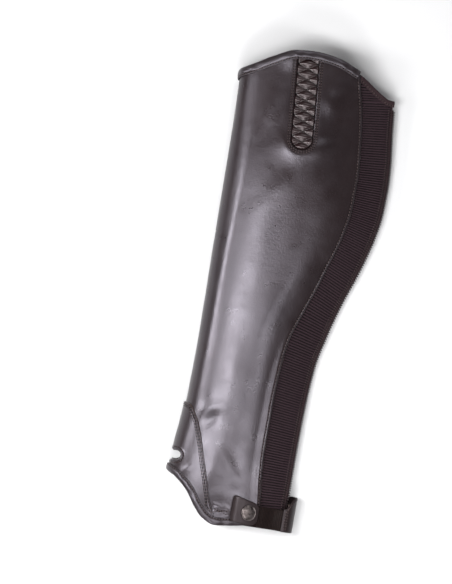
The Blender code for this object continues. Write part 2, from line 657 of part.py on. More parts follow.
def strap():
    """Leather base sewn under the inner side and looped round the zip's foot, then elastic, then the tab."""
    under = [(14.0, STRAP_LEATHER), (24.0, STRAP_LEATHER), (33.0, STRAP_LEATHER)]
    shoulder = (34.0, height_over(34.0) + 8.0)
    turn = (43.6, 12.0)
    out = bezier(under[-1], (41.0, STRAP_LEATHER), (43.6, 5.0), turn, 8)[1:]
    back = bezier(turn, (43.6, 18.0), (40.5, shoulder[1] - 0.5), shoulder, 9)[1:]
    path = [*under, *map(tuple, out), *map(tuple, back)]
    turned = len(under) + len(out)
    low, high = [], []
    for k, (x, _) in enumerate(path):
        down = float(smoothstep(44.0, 35.0, x)) if k >= turned else float(smoothstep(40.0, 20.0, x))
        low.append(-210.5 + 2.0 * (k < turned) * down)
        high.append(-176.0 - 12.5 * down)
    ribbon("strap_base", path, low, high, STRAP_LEATHER, "leather")

    loop_x, loop_z = back[::-1].T
    lie = []
    for x in np.linspace(39.5, -2.0, 15):
        clear = height_over(min(x, 34.0)) + STRAP_CLEARANCE
        under_loop = float(np.interp(x, loop_x, loop_z)) - STRAP_ELASTIC - SEAM_GAP - 0.2
        lie.append((x, clear + (under_loop - clear) * float(smoothstep(14.0, 33.0, x))))
    edges = [(-210.3, -189.7)] * len(lie)
    ribbon("strap_elastic", lie, *zip(*edges), STRAP_ELASTIC, "strap_elastic")

    over_elastic = STRAP_CLEARANCE + STRAP_ELASTIC + SEAM_GAP
    tab = []
    for x in (9.6, 8.6, 6.5, 3.5, 0.0, -3.5, -7.0, -10.5, -13.0, -14.4):
        stand = over_elastic + 0.1 - 1.2 * float(smoothstep(-3.0, -14.0, x))
        tab.append((x, height_over(x) + stand, *tab_edges(x)))
    x, z, low, high = zip(*tab)
    ribbon("strap_tab", list(zip(x, z)), low, high, STRAP_LEATHER, "leather")
    snap_cap(list(zip(x, z)))


def tab_edges(x):
    """The tab's lower and upper edge at x: a nearly square left end and a round right end."""
    round_end = 1.0 - math.sqrt(max(0.0, 1.0 - (max(0.0, x - 1.0) / 8.9) ** 2))
    left_corner = 1.2 * float(smoothstep(-12.0, -14.4, x))
    return -209.5 + left_corner + 6.5 * round_end, -186.5 - left_corner - 6.5 * round_end


def snap_cap(tab_path):
    """The snap's domed cap with a rolled rim, seated on the tab."""
    x, y = SNAP_AT
    xs, zs = np.array(tab_path)[::-1].T
    slope = (np.interp(x + 6, xs, zs) - np.interp(x - 6, xs, zs)) / 12.0
    tilt = math.atan(slope)
    base = np.array([x, y, float(np.interp(x, xs, zs)) + STRAP_LEATHER / math.cos(tilt) + SEAM_GAP + 0.15])
    right = np.array([math.cos(tilt), 0, math.sin(tilt)])
    forth = np.array([0, 1.0, 0])
    outwards = np.array([-math.sin(tilt), 0, math.cos(tilt)])
    profile = [
        (1.0, 0.0), (1.0, 0.45), (0.93, 0.62), (0.84, 0.50), (0.74, 0.68), (0.52, 0.88), (0.26, 0.98),
    ]
    segments = 28
    verts = [base]
    for radius, height in [(1.0, 0.0), *profile[1:]]:
        for k in range(segments):
            a = math.tau * k / segments
            spoke = right * math.cos(a) + forth * math.sin(a)
            verts.append(base + spoke * radius * SNAP_RADIUS + outwards * height * SNAP_HEIGHT)
    verts.append(base + outwards * SNAP_HEIGHT)
    faces = [(0, 1 + (k + 1) % segments, 1 + k) for k in range(segments)]
    for ring in range(len(profile) - 1):
        a, b = 1 + ring * segments, 1 + (ring + 1) * segments
        faces += [(a + k, a + (k + 1) % segments, b + (k + 1) % segments, b + k) for k in range(segments)]
    last = 1 + (len(profile) - 1) * segments
    faces += [(last + k, last + (k + 1) % segments, len(verts) - 1) for k in range(segments)]
    new_object("snap_cap", verts, faces, "pewter")


def centre_on_box():
    """Move the whole chap so that the middle of its underside is the origin."""
    things = [thing for thing in bpy.data.objects if not thing.hide_render]
    corners = np.array([vertex.co for thing in things for vertex in thing.data.vertices])
    low, high = corners.min(axis=0), corners.max(axis=0)
    shift = np.array([-(low[0] + high[0]) / 2, -(low[1] + high[1]) / 2, -low[2]])
    for thing in bpy.data.objects:
        for vertex in thing.data.vertices:
            vertex.co = tuple(np.array(vertex.co) + shift)


def main():
    for thing in list(bpy.data.objects):
        bpy.data.objects.remove(thing)
    make_materials()
    notch = notch_cutter()
    main_panel(window_cutter(), notch)
    ankle_panel(notch)
    quilted_insert()
    elastic_panel()
    bindings()
    zip_pieces()
    inner_tapes()
    strap()
    centre_on_box()


main()
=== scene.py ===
"""One left half chap, zipped and snapped, lying on its inner side on a pale floor.

The leather tube, its elastic gusset and its bindings lie on one skin, worked out from the flat outline
and a few cross sections. Lengths are millimetres in the cutting table's frame until a mesh is made.
X runs from the shin fold (low) to the zip (high), Y up the leg and Z up from the floor.
"""

import json
import math

import bmesh
import bpy
import numpy as np
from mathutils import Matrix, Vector

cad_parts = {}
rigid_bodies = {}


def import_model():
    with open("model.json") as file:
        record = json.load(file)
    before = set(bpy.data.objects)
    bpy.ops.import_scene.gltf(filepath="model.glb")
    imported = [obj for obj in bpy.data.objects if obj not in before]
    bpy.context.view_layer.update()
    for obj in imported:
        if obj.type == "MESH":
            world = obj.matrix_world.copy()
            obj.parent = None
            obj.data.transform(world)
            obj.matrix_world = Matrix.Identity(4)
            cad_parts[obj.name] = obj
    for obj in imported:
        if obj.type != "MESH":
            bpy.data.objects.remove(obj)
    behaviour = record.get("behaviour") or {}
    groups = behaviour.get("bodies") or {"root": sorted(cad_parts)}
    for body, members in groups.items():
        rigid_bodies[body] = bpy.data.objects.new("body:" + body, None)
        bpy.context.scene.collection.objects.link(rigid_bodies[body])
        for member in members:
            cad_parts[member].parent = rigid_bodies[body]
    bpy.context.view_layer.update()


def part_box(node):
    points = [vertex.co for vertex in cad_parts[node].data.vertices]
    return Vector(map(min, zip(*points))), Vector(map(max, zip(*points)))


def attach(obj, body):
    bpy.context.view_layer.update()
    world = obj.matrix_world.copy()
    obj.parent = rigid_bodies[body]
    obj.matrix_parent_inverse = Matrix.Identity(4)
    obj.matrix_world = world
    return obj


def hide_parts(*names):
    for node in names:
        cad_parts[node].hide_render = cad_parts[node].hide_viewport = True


for leftover in list(bpy.data.objects):
    bpy.data.objects.remove(leftover)
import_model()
bpy.ops.object.select_all(action="DESELECT")

# Thicknesses, gaps and laps of the sewn pieces
LEATHER = 2.0
ANKLE_LEATHER = 1.4
ELASTIC = 1.2
LEATHER_BINDING = 0.9
CLOTH_BINDING = 0.7
TAPE = 0.7
SEAM_GAP = 0.3
LEG_GAP = 0.45
FOLD_EASE = 0.3
UNDER_GAP = 0.45
INSERT_GAP = 0.6
TOP_BINDING_DEPTH = 7.6
HEM_BINDING_DEPTH = 6.5
CLOTH_BINDING_DEPTH = 5.0
SHORT_LEG = 4.4
SEAM_LAP = 7.0

# Zip: heights are above the floor under the rear edge
ZIP_HEIGHT = 6.2
OUTER_END_RISE = 4.3
INNER_END_DROP = 5.3
CHAIN_HALF_DEPTH = 1.4
PANEL_TO_ZIP = 5.0
ZIP_FOOT = -196.5
TAPE_FOOT = -194.4
ZIP_HEAD = {1: 211.0, -1: 206.6}
TOOTH_PITCH = 2.3
SLIDER_FOOT = -194.0

# Quilting, strap and snap
QUILT_PITCH = 10.0
QUILT_RISE = 1.0
QUILT_HEIGHT = 2.3
INSERT_WALL = 1.2
RIB_PITCH = 2.4
STRAP_LEATHER = 1.8
STRAP_ELASTIC = 1.3
STRAP_CLEARANCE = 2.0
STRAP_START = 14.0
SNAP_RADIUS = 7.6
SNAP_HEIGHT = 2.8
SNAP_AT = (1.0, -197.5)

# Rows of sewing: how far in they lie from an edge, and how far the thread stands off the leather
SEAM_ROW = 2.8
ZIP_ROW = 3.0
WINDOW_ROWS = (1.6, 3.4)
STITCH_LIFT = 0.12
INNER_TAPE_HALF_WIDTH = 3.3

# The flat outline seen from above: a place along Y and the edge's X there
SHIN_EDGE = [
    (-215, -80.5), (-170, -80.5), (-150, -80.0), (-120, -77.5), (-100, -76.3), (-50, -75.5),
    (0, -76.0), (50, -76.8), (100, -77.4), (170, -78.3), (218, -80.0), (255, -81.5),
]
ZIP_EDGE = [
    (-215, 36.8), (-130, 36.8), (-90, 37.5), (-50, 40.0), (-20, 46.0), (0, 51.0), (20, 57.0),
    (40, 64.0), (60, 70.0), (80, 75.0), (105, 78.8), (130, 79.5), (150, 78.5), (180, 75.0),
    (210, 72.0), (255, 69.0),
]
ELASTIC_SEAM = [
    (-215, 12.0), (-187, 11.0), (-165, 8.0), (-130, 5.6), (-90, 5.6), (-60, 7.0), (-40, 9.0),
    (-25, 12.0), (-10, 17.0), (5, 22.0), (25, 29.0), (45, 35.0), (75, 44.0), (105, 49.0),
    (135, 49.5), (165, 47.0), (200, 42.0), (225, 36.0), (255, 29.0),
]

# Edges that run across the leg: the X and Y of their points
TOP_OUTER = [
    (-80, 218), (-78, 220.5), (-70, 225), (-50, 236.6), (-30, 245.6), (-10, 247.3), (10, 245),
    (34.5, 236),
]
TOP_INNER = [(-66, 211.5), (-53, 207.6), (-30, 205), (0, 205.2), (31, 208.3), (56, 211.7), (72, 213.3)]
TOP_ELASTIC = [(34.5, 233.6), (40, 230.5), (50, 223.5), (60, 217), (66, 214.3), (72, 214.0)]
HEM = [
    (-80.5, -170), (-75, -173), (-70, -176.5), (-60, -186), (-50, -200), (-42, -208.3),
    (-30, -213.4), (-14, -211.6), (5, -208), (25, -202), (36.8, -199.5),
]
ANKLE_SEAM = [
    (-77, -103), (-72, -104.5), (-64, -115), (-57, -131), (-49, -156), (-42, -178), (-38, -192),
    (-31, -205.5),
]

# Cross sections: the crest's height and its share of the way across, the height of the shin
# fold's middle, and how far in the fold meets the floor
SECTION_COLUMNS = ("y", "crest", "crest_share", "fold_height", "fold_reach")
SECTIONS = [
    (-215, 40, 0.40, 17, 22), (-170, 42, 0.40, 17, 22), (-100, 43, 0.42, 16, 23),
    (0, 44, 0.42, 16, 24), (110, 46, 0.42, 16, 26), (200, 41, 0.42, 15, 26), (255, 37, 0.42, 14, 26),
]
LIFT = [(-215, 3.2), (-150, 3.1), (-104, 2.2), (-55, 0.0), (130, 0.0), (202, 1.9), (255, 1.9)]
STRAP_LIFT = [(-215, 1.2), (-170, 1.2), (-120, 0.0), (255, 0.0)]

# The insert's window: the middle of its round foot and of its top
WINDOW_TOP = (-17.4, 241.0)
WINDOW_FOOT = (-10.6, 163.5)
WINDOW_HALF_WIDTH = 10.4
INSERT_MARGIN = 4.6

# The flex notch through the shin fold
NOTCH_AT = -155.0
NOTCH_REACH = 9.0
NOTCH_HALF_HEIGHT = 4.6

# How far up the leg the elastic's seam end of a rib lies from its zip end
RIB_SLANT = [
    (-199, -6.5), (-185, -2.0), (-120, 3.0), (-40, 7.0), (20, 12.0), (70, 9.0), (110, 2.0),
    (150, -3.0), (213, -5.0),
]

# Swells and creases worked into the leather by wear: the side they are on, where, half the length
# and half the width, the turn of the long way from X in degrees, and the rise of the middle
CREASE_COLUMNS = ("side", "x", "y", "half_long", "half_wide", "turn", "rise")
CREASES = [
    (1, -50, -115, 9, 5, 60, -1.3), (1, -50, -105, 14, 6, 20, 0.9),
    (1, 10, 203, 12, 9, 88, 2.5), (1, 7, 159, 13, 8, 20, 1.2), (1, -27, 160, 12, 5, -50, 0.5),
    (1, -33, 241, 12, 12, 10, 2.1), (1, -27, 196, 26, 4, 88, -0.4), (1, -42, 190, 20, 9, 85, 0.7),
    (1, -62, 60, 120, 5, 88, 0.5), (1, -30, 40, 60, 16, 100, 0.9), (1, -18, 118, 34, 11, 60, 1.3),
    (1, 8, -105, 55, 5, 89, 2.2), (1, -18, -170, 22, 9, 20, -0.8), (1, -40, -160, 24, 6, 80, 0.7),
    (1, -33, -200, 5, 1.5, 35, -0.6), (1, -28, -196, 6, 1.6, -15, 0.5), (1, -24, -201, 5, 1.4, 25, -0.6),
    (1, -19, -197, 6, 1.5, -30, 0.4), (1, -15, -203, 6, 1.6, 5, -0.5), (1, -20, -203, 30, 17, 0, -1.7),
    (1, -27, -154, 22, 6, -52, -0.8),
    (1, -66, -168, 8, 2.4, 40, 0.5), (1, 28, 232, 20, 6, -30, 0.4), (1, 20, 120, 60, 10, 84, 0.5),
    (1, -8, 4, 44, 9, 66, 0.6), (1, -36, -66, 40, 10, 95, 0.7), (1, 30, 196, 24, 5, 88, -0.4),
    (-1, -20, 120, 70, 14, 80, 0.6), (-1, 20, 30, 60, 10, 70, -0.5), (-1, -10, -60, 50, 12, 95, 0.6),
    (-1, 10, -140, 40, 7, 60, -0.5), (-1, -40, 180, 30, 8, 30, 0.5), (-1, -20, -180, 20, 4, 20, -0.5),
    (-1, 40, 150, 30, 6, 100, 0.5),
]

OUTER_SIDE, INNER_SIDE = 1, -1
SIDES = (OUTER_SIDE, INNER_SIDE)
SKIN_Y = np.arange(-216.0, 256.0, 1.0)
SKIN_C = np.linspace(-1.0, 1.0, 321)
ROW_SHIFT = np.array([
    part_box("strap_base")[0].x * 1000 - STRAP_START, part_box("zip_chain")[0].y * 1000 - ZIP_FOOT, 0.0,
])


def smooth_line(rows):
    """A smooth curve through (place, value) rows, as a function of the place, with no bulge between."""
    place, value = np.array(sorted(rows), float).T
    rate = np.diff(value) / np.diff(place)
    before, after = rate[:-1], rate[1:]
    same_way = before * after > 0
    middle = np.where(same_way, 2 * before * after / np.where(same_way, before + after, 1), 0)
    slope = np.concatenate([rate[:1], middle, rate[-1:]])

    def read(at):
        at = np.clip(np.asarray(at, float), place[0], place[-1])
        i = np.clip(np.searchsorted(place, at) - 1, 0, len(place) - 2)
        span = place[i + 1] - place[i]
        u = (at - place[i]) / span
        start = (1 + 2 * u) * (1 - u) ** 2 * value[i] + u * (1 - u) ** 2 * span * slope[i]
        end = u * u * (3 - 2 * u) * value[i + 1] + u * u * (u - 1) * span * slope[i + 1]
        return start + end

    return read


def smoothstep(low, high, at):
    t = np.clip((np.asarray(at, float) - low) / (high - low), 0, 1)
    return t * t * (3 - 2 * t)


def bezier(p0, p1, p2, p3, count=40):
    t = np.linspace(0, 1, count)[:, None]
    p0, p1, p2, p3 = (np.array(p, float) for p in (p0, p1, p2, p3))
    return p0 * (1 - t) ** 3 + 3 * p1 * t * (1 - t) ** 2 + 3 * p2 * t * t * (1 - t) + p3 * t**3


def unit(rows):
    """The same directions, each of length 1."""
    return rows / np.linalg.norm(rows, axis=-1, keepdims=True)


def walk(line):
    """How far along a line of points each one lies."""
    return np.concatenate([[0], np.cumsum(np.linalg.norm(np.diff(line, axis=0), axis=1))])


shin_edge = smooth_line(SHIN_EDGE)
zip_edge = smooth_line(ZIP_EDGE)
elastic_seam = smooth_line(ELASTIC_SEAM)
lift = smooth_line(LIFT)
strap_lift = smooth_line(STRAP_LIFT)
rib_slant = smooth_line(RIB_SLANT)
section_value = {
    name: smooth_line([(row[0], row[k]) for row in SECTIONS])
    for k, name in enumerate(SECTION_COLUMNS) if k
}


def rear_floor(y):
    """The height of the tube's underside near the zip."""
    return lift(y) + strap_lift(y)


def half_sections(y):
    """The outer and the inner half of the section at y, from the shin fold to the zip, as X and Z."""
    shin, rear = float(shin_edge(y)), float(zip_edge(y))
    crest, fold, reach = (float(section_value[k](y)) for k in ("crest", "fold_height", "fold_reach"))
    across = shin + float(section_value["crest_share"](y)) * (rear - shin)
    floor, behind = float(lift(y)), float(rear_floor(y))
    zip_z = behind + ZIP_HEIGHT
    nose, top = (shin, fold), (across, crest)
    outer_end, inner_end = (rear, zip_z + OUTER_END_RISE), (rear, zip_z - INNER_END_DROP)
    over_fold = bezier(
        nose, (shin, fold + 0.62 * (crest - fold)), (across - 0.60 * (across - shin), crest), top
    )
    over_calf = (across + 0.45 * (rear - across), crest)
    to_zip = bezier(top, over_calf, (rear - 17, outer_end[1] + 9), outer_end)
    under_fold = bezier(
        nose, (shin, floor + 0.42 * (fold - floor)), (shin + 0.42 * reach, floor), (shin + reach, floor)
    )
    flat = bezier((shin + reach, floor), (shin + reach + 20, floor), (rear - 34, behind), (rear - 14, behind))
    up_to_zip = bezier((rear - 14, behind), (rear - 9, behind), (rear - 4, behind), inner_end)
    return np.vstack([over_fold, to_zip[1:]]), np.vstack([under_fold, flat[1:], up_to_zip[1:]])


def build_skin():
    """The skin as X and Z over the places along Y and the shares c of the way to the zip.

    c is 1 at the zip on the outer side, 0 at the shin fold and -1 at the zip on the inner side.
    """
    table = np.zeros((len(SKIN_Y), len(SKIN_C), 2))
    lengths = np.zeros((len(SKIN_Y), 2))
    for i, y in enumerate(SKIN_Y):
        for k, (half, side) in enumerate(zip(half_sections(y), SIDES)):
            walked = walk(half)
            lengths[i, k] = walked[-1]
            here = SKIN_C * side >= 0
            for axis in range(2):
                table[i, here, axis] = np.interp(np.abs(SKIN_C[here]) * walked[-1], walked, half[:, axis])
    return table, lengths


SKIN, HALF_LENGTHS = build_skin()


def half_length(y, side):
    """Length from the shin fold to the zip at y, over the outer or the inner side."""
    return np.interp(y, SKIN_Y, HALF_LENGTHS[:, SIDES.index(side)])


def on_skin(c, y):
    c, y = np.broadcast_arrays(np.asarray(c, float), np.asarray(y, float))
    row = np.clip((y - SKIN_Y[0]) / (SKIN_Y[1] - SKIN_Y[0]), 0, len(SKIN_Y) - 1.001)
    col = np.clip((c - SKIN_C[0]) / (SKIN_C[1] - SKIN_C[0]), 0, len(SKIN_C) - 1.001)
    i, j = row.astype(int), col.astype(int)
    u, v = (row - i)[..., None], (col - j)[..., None]
    low = SKIN[i, j] * (1 - v) + SKIN[i, j + 1] * v
    high = SKIN[i + 1, j] * (1 - v) + SKIN[i + 1, j + 1] * v
    xz = low * (1 - u) + high * u
    return np.stack([xz[..., 0], y, xz[..., 1]], axis=-1)


def skin_normal(c, y):
    c, y = np.broadcast_arrays(np.asarray(c, float), np.asarray(y, float))
    across = on_skin(np.minimum(c + 0.015, 1), y) - on_skin(np.maximum(c - 0.015, -1), y)
    along = on_skin(c, y + 2.5) - on_skin(c, y - 2.5)
    return unit(np.cross(across, along))


def off_skin(c, y, out):
    """The point at c and y, moved off the skin by out: outwards above 0, inwards below it."""
    c, y = np.broadcast_arrays(np.asarray(c, float), np.asarray(y, float))
    return on_skin(c, y) + skin_normal(c, y) * np.broadcast_to(np.asarray(out, float), c.shape)[..., None]


def share_at(x, y, side):
    """The share c at which the skin's outer or inner side passes over x at y."""
    shares = np.linspace(0, side, 400)
    return float(np.interp(x, on_skin(shares, np.full(400, float(y)))[:, 0], shares))


def shares_at(x, y, side):
    x, y = np.broadcast_arrays(np.asarray(x, float), np.asarray(y, float))
    return np.array([share_at(a, b, side) for a, b in zip(x.ravel(), y.ravel())]).reshape(x.shape)


def zip_share(y, side, distance):
    """The share c at a distance from the zip, over one side."""
    return side * (1 - distance / half_length(y, side))


def edge_by_share(*sided_rows):
    """An edge drawn from above, as a function of c. Each argument is a side and its points."""
    return smooth_line([(share_at(x, y, side), y) for side, points in sided_rows for x, y in points])


top_edge = edge_by_share((INNER_SIDE, TOP_INNER), (OUTER_SIDE, TOP_OUTER))
elastic_top_edge = edge_by_share((OUTER_SIDE, TOP_ELASTIC))
hem_edge = edge_by_share((INNER_SIDE, HEM[1:]), (OUTER_SIDE, HEM))
ankle_seam = edge_by_share((INNER_SIDE, ANKLE_SEAM[1:]), (OUTER_SIDE, ANKLE_SEAM))
seam_share = smooth_line([
    (y, share_at(elastic_seam(y), y, OUTER_SIDE)) for y in np.arange(-214.0, 250.0, 8.0)
])
ANKLE_END = {side: share_at(*ANKLE_SEAM[-1], side) for side in SIDES}


def moved(c, y, distance):
    """The share c on the outer side, moved along the section by a distance towards the zip."""
    return c + distance / half_length(y, OUTER_SIDE)


# Finishes


class Finish:
    """A material whose colour, gloss and relief come from textures on the piece's own place."""

    def __init__(self, name, colour, roughness, source="Object", fixed=None):
        self.material = bpy.data.materials.new(name)
        self.material.use_nodes = True
        self.tree = self.material.node_tree
        self.shader = self.tree.nodes["Principled BSDF"]
        self.place = self.tree.nodes.new("ShaderNodeTexCoord").outputs[source]
        self.shader.inputs["Base Color"].default_value = (*colour, 1)
        self.shader.inputs["Roughness"].default_value = roughness
        for socket, value in (fixed or {}).items():
            self.shader.inputs[socket].default_value = value

    def join(self, output, target):
        self.tree.links.new(output, target)

    def stretched(self, stretch, turn=0.0):
        mapping = self.tree.nodes.new("ShaderNodeMapping")
        mapping.inputs["Scale"].default_value = stretch
        mapping.inputs["Rotation"].default_value = (0, 0, turn)
        self.join(self.place, mapping.inputs["Vector"])
        return mapping.outputs["Vector"]

    def texture(self, kind, output, settings, stretch=(1, 1, 1), turn=0.0, **modes):
        made = self.tree.nodes.new(kind)
        for key, value in modes.items():
            setattr(made, key, value)
        for socket, value in settings.items():
            made.inputs[socket].default_value = value
        self.join(self.stretched(stretch, turn), made.inputs["Vector"])
        return made.outputs[output]

    def noise(self, per_metre, detail=3.0, stretch=(1, 1, 1), rough=0.55):
        settings = {"Scale": per_metre, "Detail": detail, "Roughness": rough}
        return self.texture("ShaderNodeTexNoise", "Fac", settings, stretch)

    def cells(self, per_metre, stretch=(1, 1, 1)):
        return self.texture("ShaderNodeTexVoronoi", "Distance", {"Scale": per_metre}, stretch)

    def lines(self, per_metre, turn=0.0, bend=0.0):
        """Sine ridges across X of the place, or across another way that turn gives."""
        settings = {"Scale": per_metre / 20 * math.tau, "Distortion": bend, "Detail": 1.0}
        return self.texture("ShaderNodeTexWave", "Fac", settings, turn=turn, wave_profile="SIN")

    def ranged(self, value, low, high, first, second):
        spread = self.tree.nodes.new("ShaderNodeMapRange")
        for socket, number in zip(("From Min", "From Max", "To Min", "To Max"), (low, high, first, second)):
            spread.inputs[socket].default_value = number
        self.join(value, spread.inputs["Value"])
        return spread.outputs["Result"]

    def colour_between(self, value, low, high, first, second):
        """Colour the piece from first to second as value goes from low to high."""
        mix = self.tree.nodes.new("ShaderNodeMix")
        mix.data_type = "RGBA"
        mix.inputs[7].default_value = (*second, 1)
        if isinstance(first, tuple):
            mix.inputs[6].default_value = (*first, 1)
        else:
            self.join(first, mix.inputs[6])
        self.join(self.ranged(value, low, high, 0.0, 1.0), mix.inputs[0])
        self.join(mix.outputs[2], self.shader.inputs["Base Color"])
        return mix.outputs[2]

    def gloss_between(self, value, low, high, first, second):
        self.join(self.ranged(value, low, high, first, second), self.shader.inputs["Roughness"])

    def relief(self, *layers):
        """Bumps from the first layer to the last: each a texture, its height in mm and its strength."""
        under = None
        for height, millimetres, strength in layers:
            bump = self.tree.nodes.new("ShaderNodeBump")
            bump.inputs["Distance"].default_value = millimetres / 1000
            bump.inputs["Strength"].default_value = strength
            self.join(height, bump.inputs["Height"])
            if under:
                self.join(under, bump.inputs["Normal"])
            under = bump.outputs["Normal"]
        self.join(under, self.shader.inputs["Normal"])
        return self.material


def smooth_hide(name, deep, warm, gloss, grain, fixed, worked):
    """Full-grain leather: fine pebbling, pores, faint clouding and an uneven worn gloss. Where worked is set,
    painted shade darkens the low parts between the quilt's puffs.
    """
    hide = Finish(name, deep, gloss, fixed=fixed)
    clouds = hide.noise(16.0, 5.0)
    tone = hide.colour_between(clouds, 0.35, 0.70, deep, warm)
    pores = hide.noise(1100.0, 2.0)
    hide.colour_between(pores, 0.45, 0.85, tone, tuple(0.75 * v for v in deep))
    # Painted shade: on the quilt the colour runs to near black where the "rib" puff height is low, at the
    # stitch lines
    if worked:
        raised = hide.tree.nodes.new("ShaderNodeAttribute")
        raised.attribute_name = "rib"
        hide.colour_between(raised.outputs["Fac"], 0.36, 0.06, tone, tuple(0.08 * v for v in deep))
    hide.gloss_between(hide.noise(60.0, 6.0), 0.30, 0.70, gloss - 0.04, gloss + 0.06)
    pebbles, hair = hide.cells(820.0), hide.noise(2300.0, 2.0)
    calm = 0.3 if worked else 1.0
    return hide.relief(
        (hide.noise(55.0, 1.0), 0.5 * calm, 0.3), (hide.noise(170.0, 1.0), 0.14 * calm, 0.35),
        (hide.noise(520.0, 2.0), 0.13 * calm, 0.5), (pebbles, 0.09 * calm, 1.2 * grain),
        (hair, 0.05, 0.5 * grain),
    )


def ribbed_cloth(woven, deep, light, weave):
    """Rubber-cored ribs wrapped in fine yarn, with painted shade making the yarn nearly black between the
    ribs.
    """
    rib = woven.tree.nodes.new("ShaderNodeAttribute")
    rib.attribute_name = "rib"
    yarn = woven.lines(weave)
    # Painted shade: the colour falls to a fifth of the deep tone where the "rib" height is low, between the
    # ribs
    tone = woven.colour_between(rib.outputs["Fac"], 0.15, 0.95, tuple(0.2 * v for v in deep), light)
    speck = tuple(1.5 * v for v in light)
    woven.colour_between(woven.noise(900.0, 2.0), 0.52, 0.80, tone, speck)
    woven.gloss_between(woven.noise(120.0, 3.0), 0.3, 0.7, 0.55, 0.78)
    return woven.relief((yarn, 0.12, 0.5), (woven.noise(2600.0, 2.0), 0.05, 0.3))


# Finishes of clouded tones with a fine grain. Clouding: its scale, detail and range. Grain: its scale,
# detail, height in mm and strength
PLAIN_COLUMNS = ("name", "base", "gloss", "fixed", "clouding", "dark", "pale", "grain")
PLAIN_FINISHES = [
    (
        "suede_lining", (0.17, 0.12, 0.095), 0.95, {"Sheen Weight": 0.5, "Sheen Roughness": 0.5},
        (26.0, 5.0, 0.3, 0.7), (0.135, 0.095, 0.075), (0.21, 0.155, 0.125), (900.0, 4.0, 0.25, 0.6),
    ),
    (
        "cut_edge", (0.12, 0.075, 0.055), 0.8, None,
        (500.0, 4.0, 0.35, 0.65), (0.075, 0.045, 0.035), (0.20, 0.14, 0.105), (1200.0, 3.0, 0.2, 0.6),
    ),
    (
        "painted_edge", (0.018, 0.011, 0.010), 0.6, None,
        (500.0, 3.0, 0.3, 0.7), (0.011, 0.007, 0.006), (0.030, 0.018, 0.015), (1200.0, 3.0, 0.2, 0.5),
    ),
    (
        "dark_lacquer", (0.030, 0.020, 0.018), 0.4, {"Metallic": 0.7},
        (300.0, 5.0, 0.35, 0.7), (0.020, 0.013, 0.012), (0.055, 0.038, 0.033), (900.0, 3.0, 0.05, 0.4),
    ),
    (
        "needle_shadow", (0.0025, 0.0018, 0.0018), 0.9, {"Specular IOR Level": 0.1},
        (700.0, 2.0, 0.3, 0.7), (0.0015, 0.0010, 0.0010), (0.0040, 0.0028, 0.0026), (1500.0, 2.0, 0.05, 0.3),
    ),
    (
        "moulded_coil", (0.020, 0.011, 0.012), 0.35, None,
        (160.0, 3.0, 0.3, 0.7), (0.014, 0.008, 0.009), (0.032, 0.018, 0.019), (1800.0, 2.0, 0.05, 0.4),
    ),
]


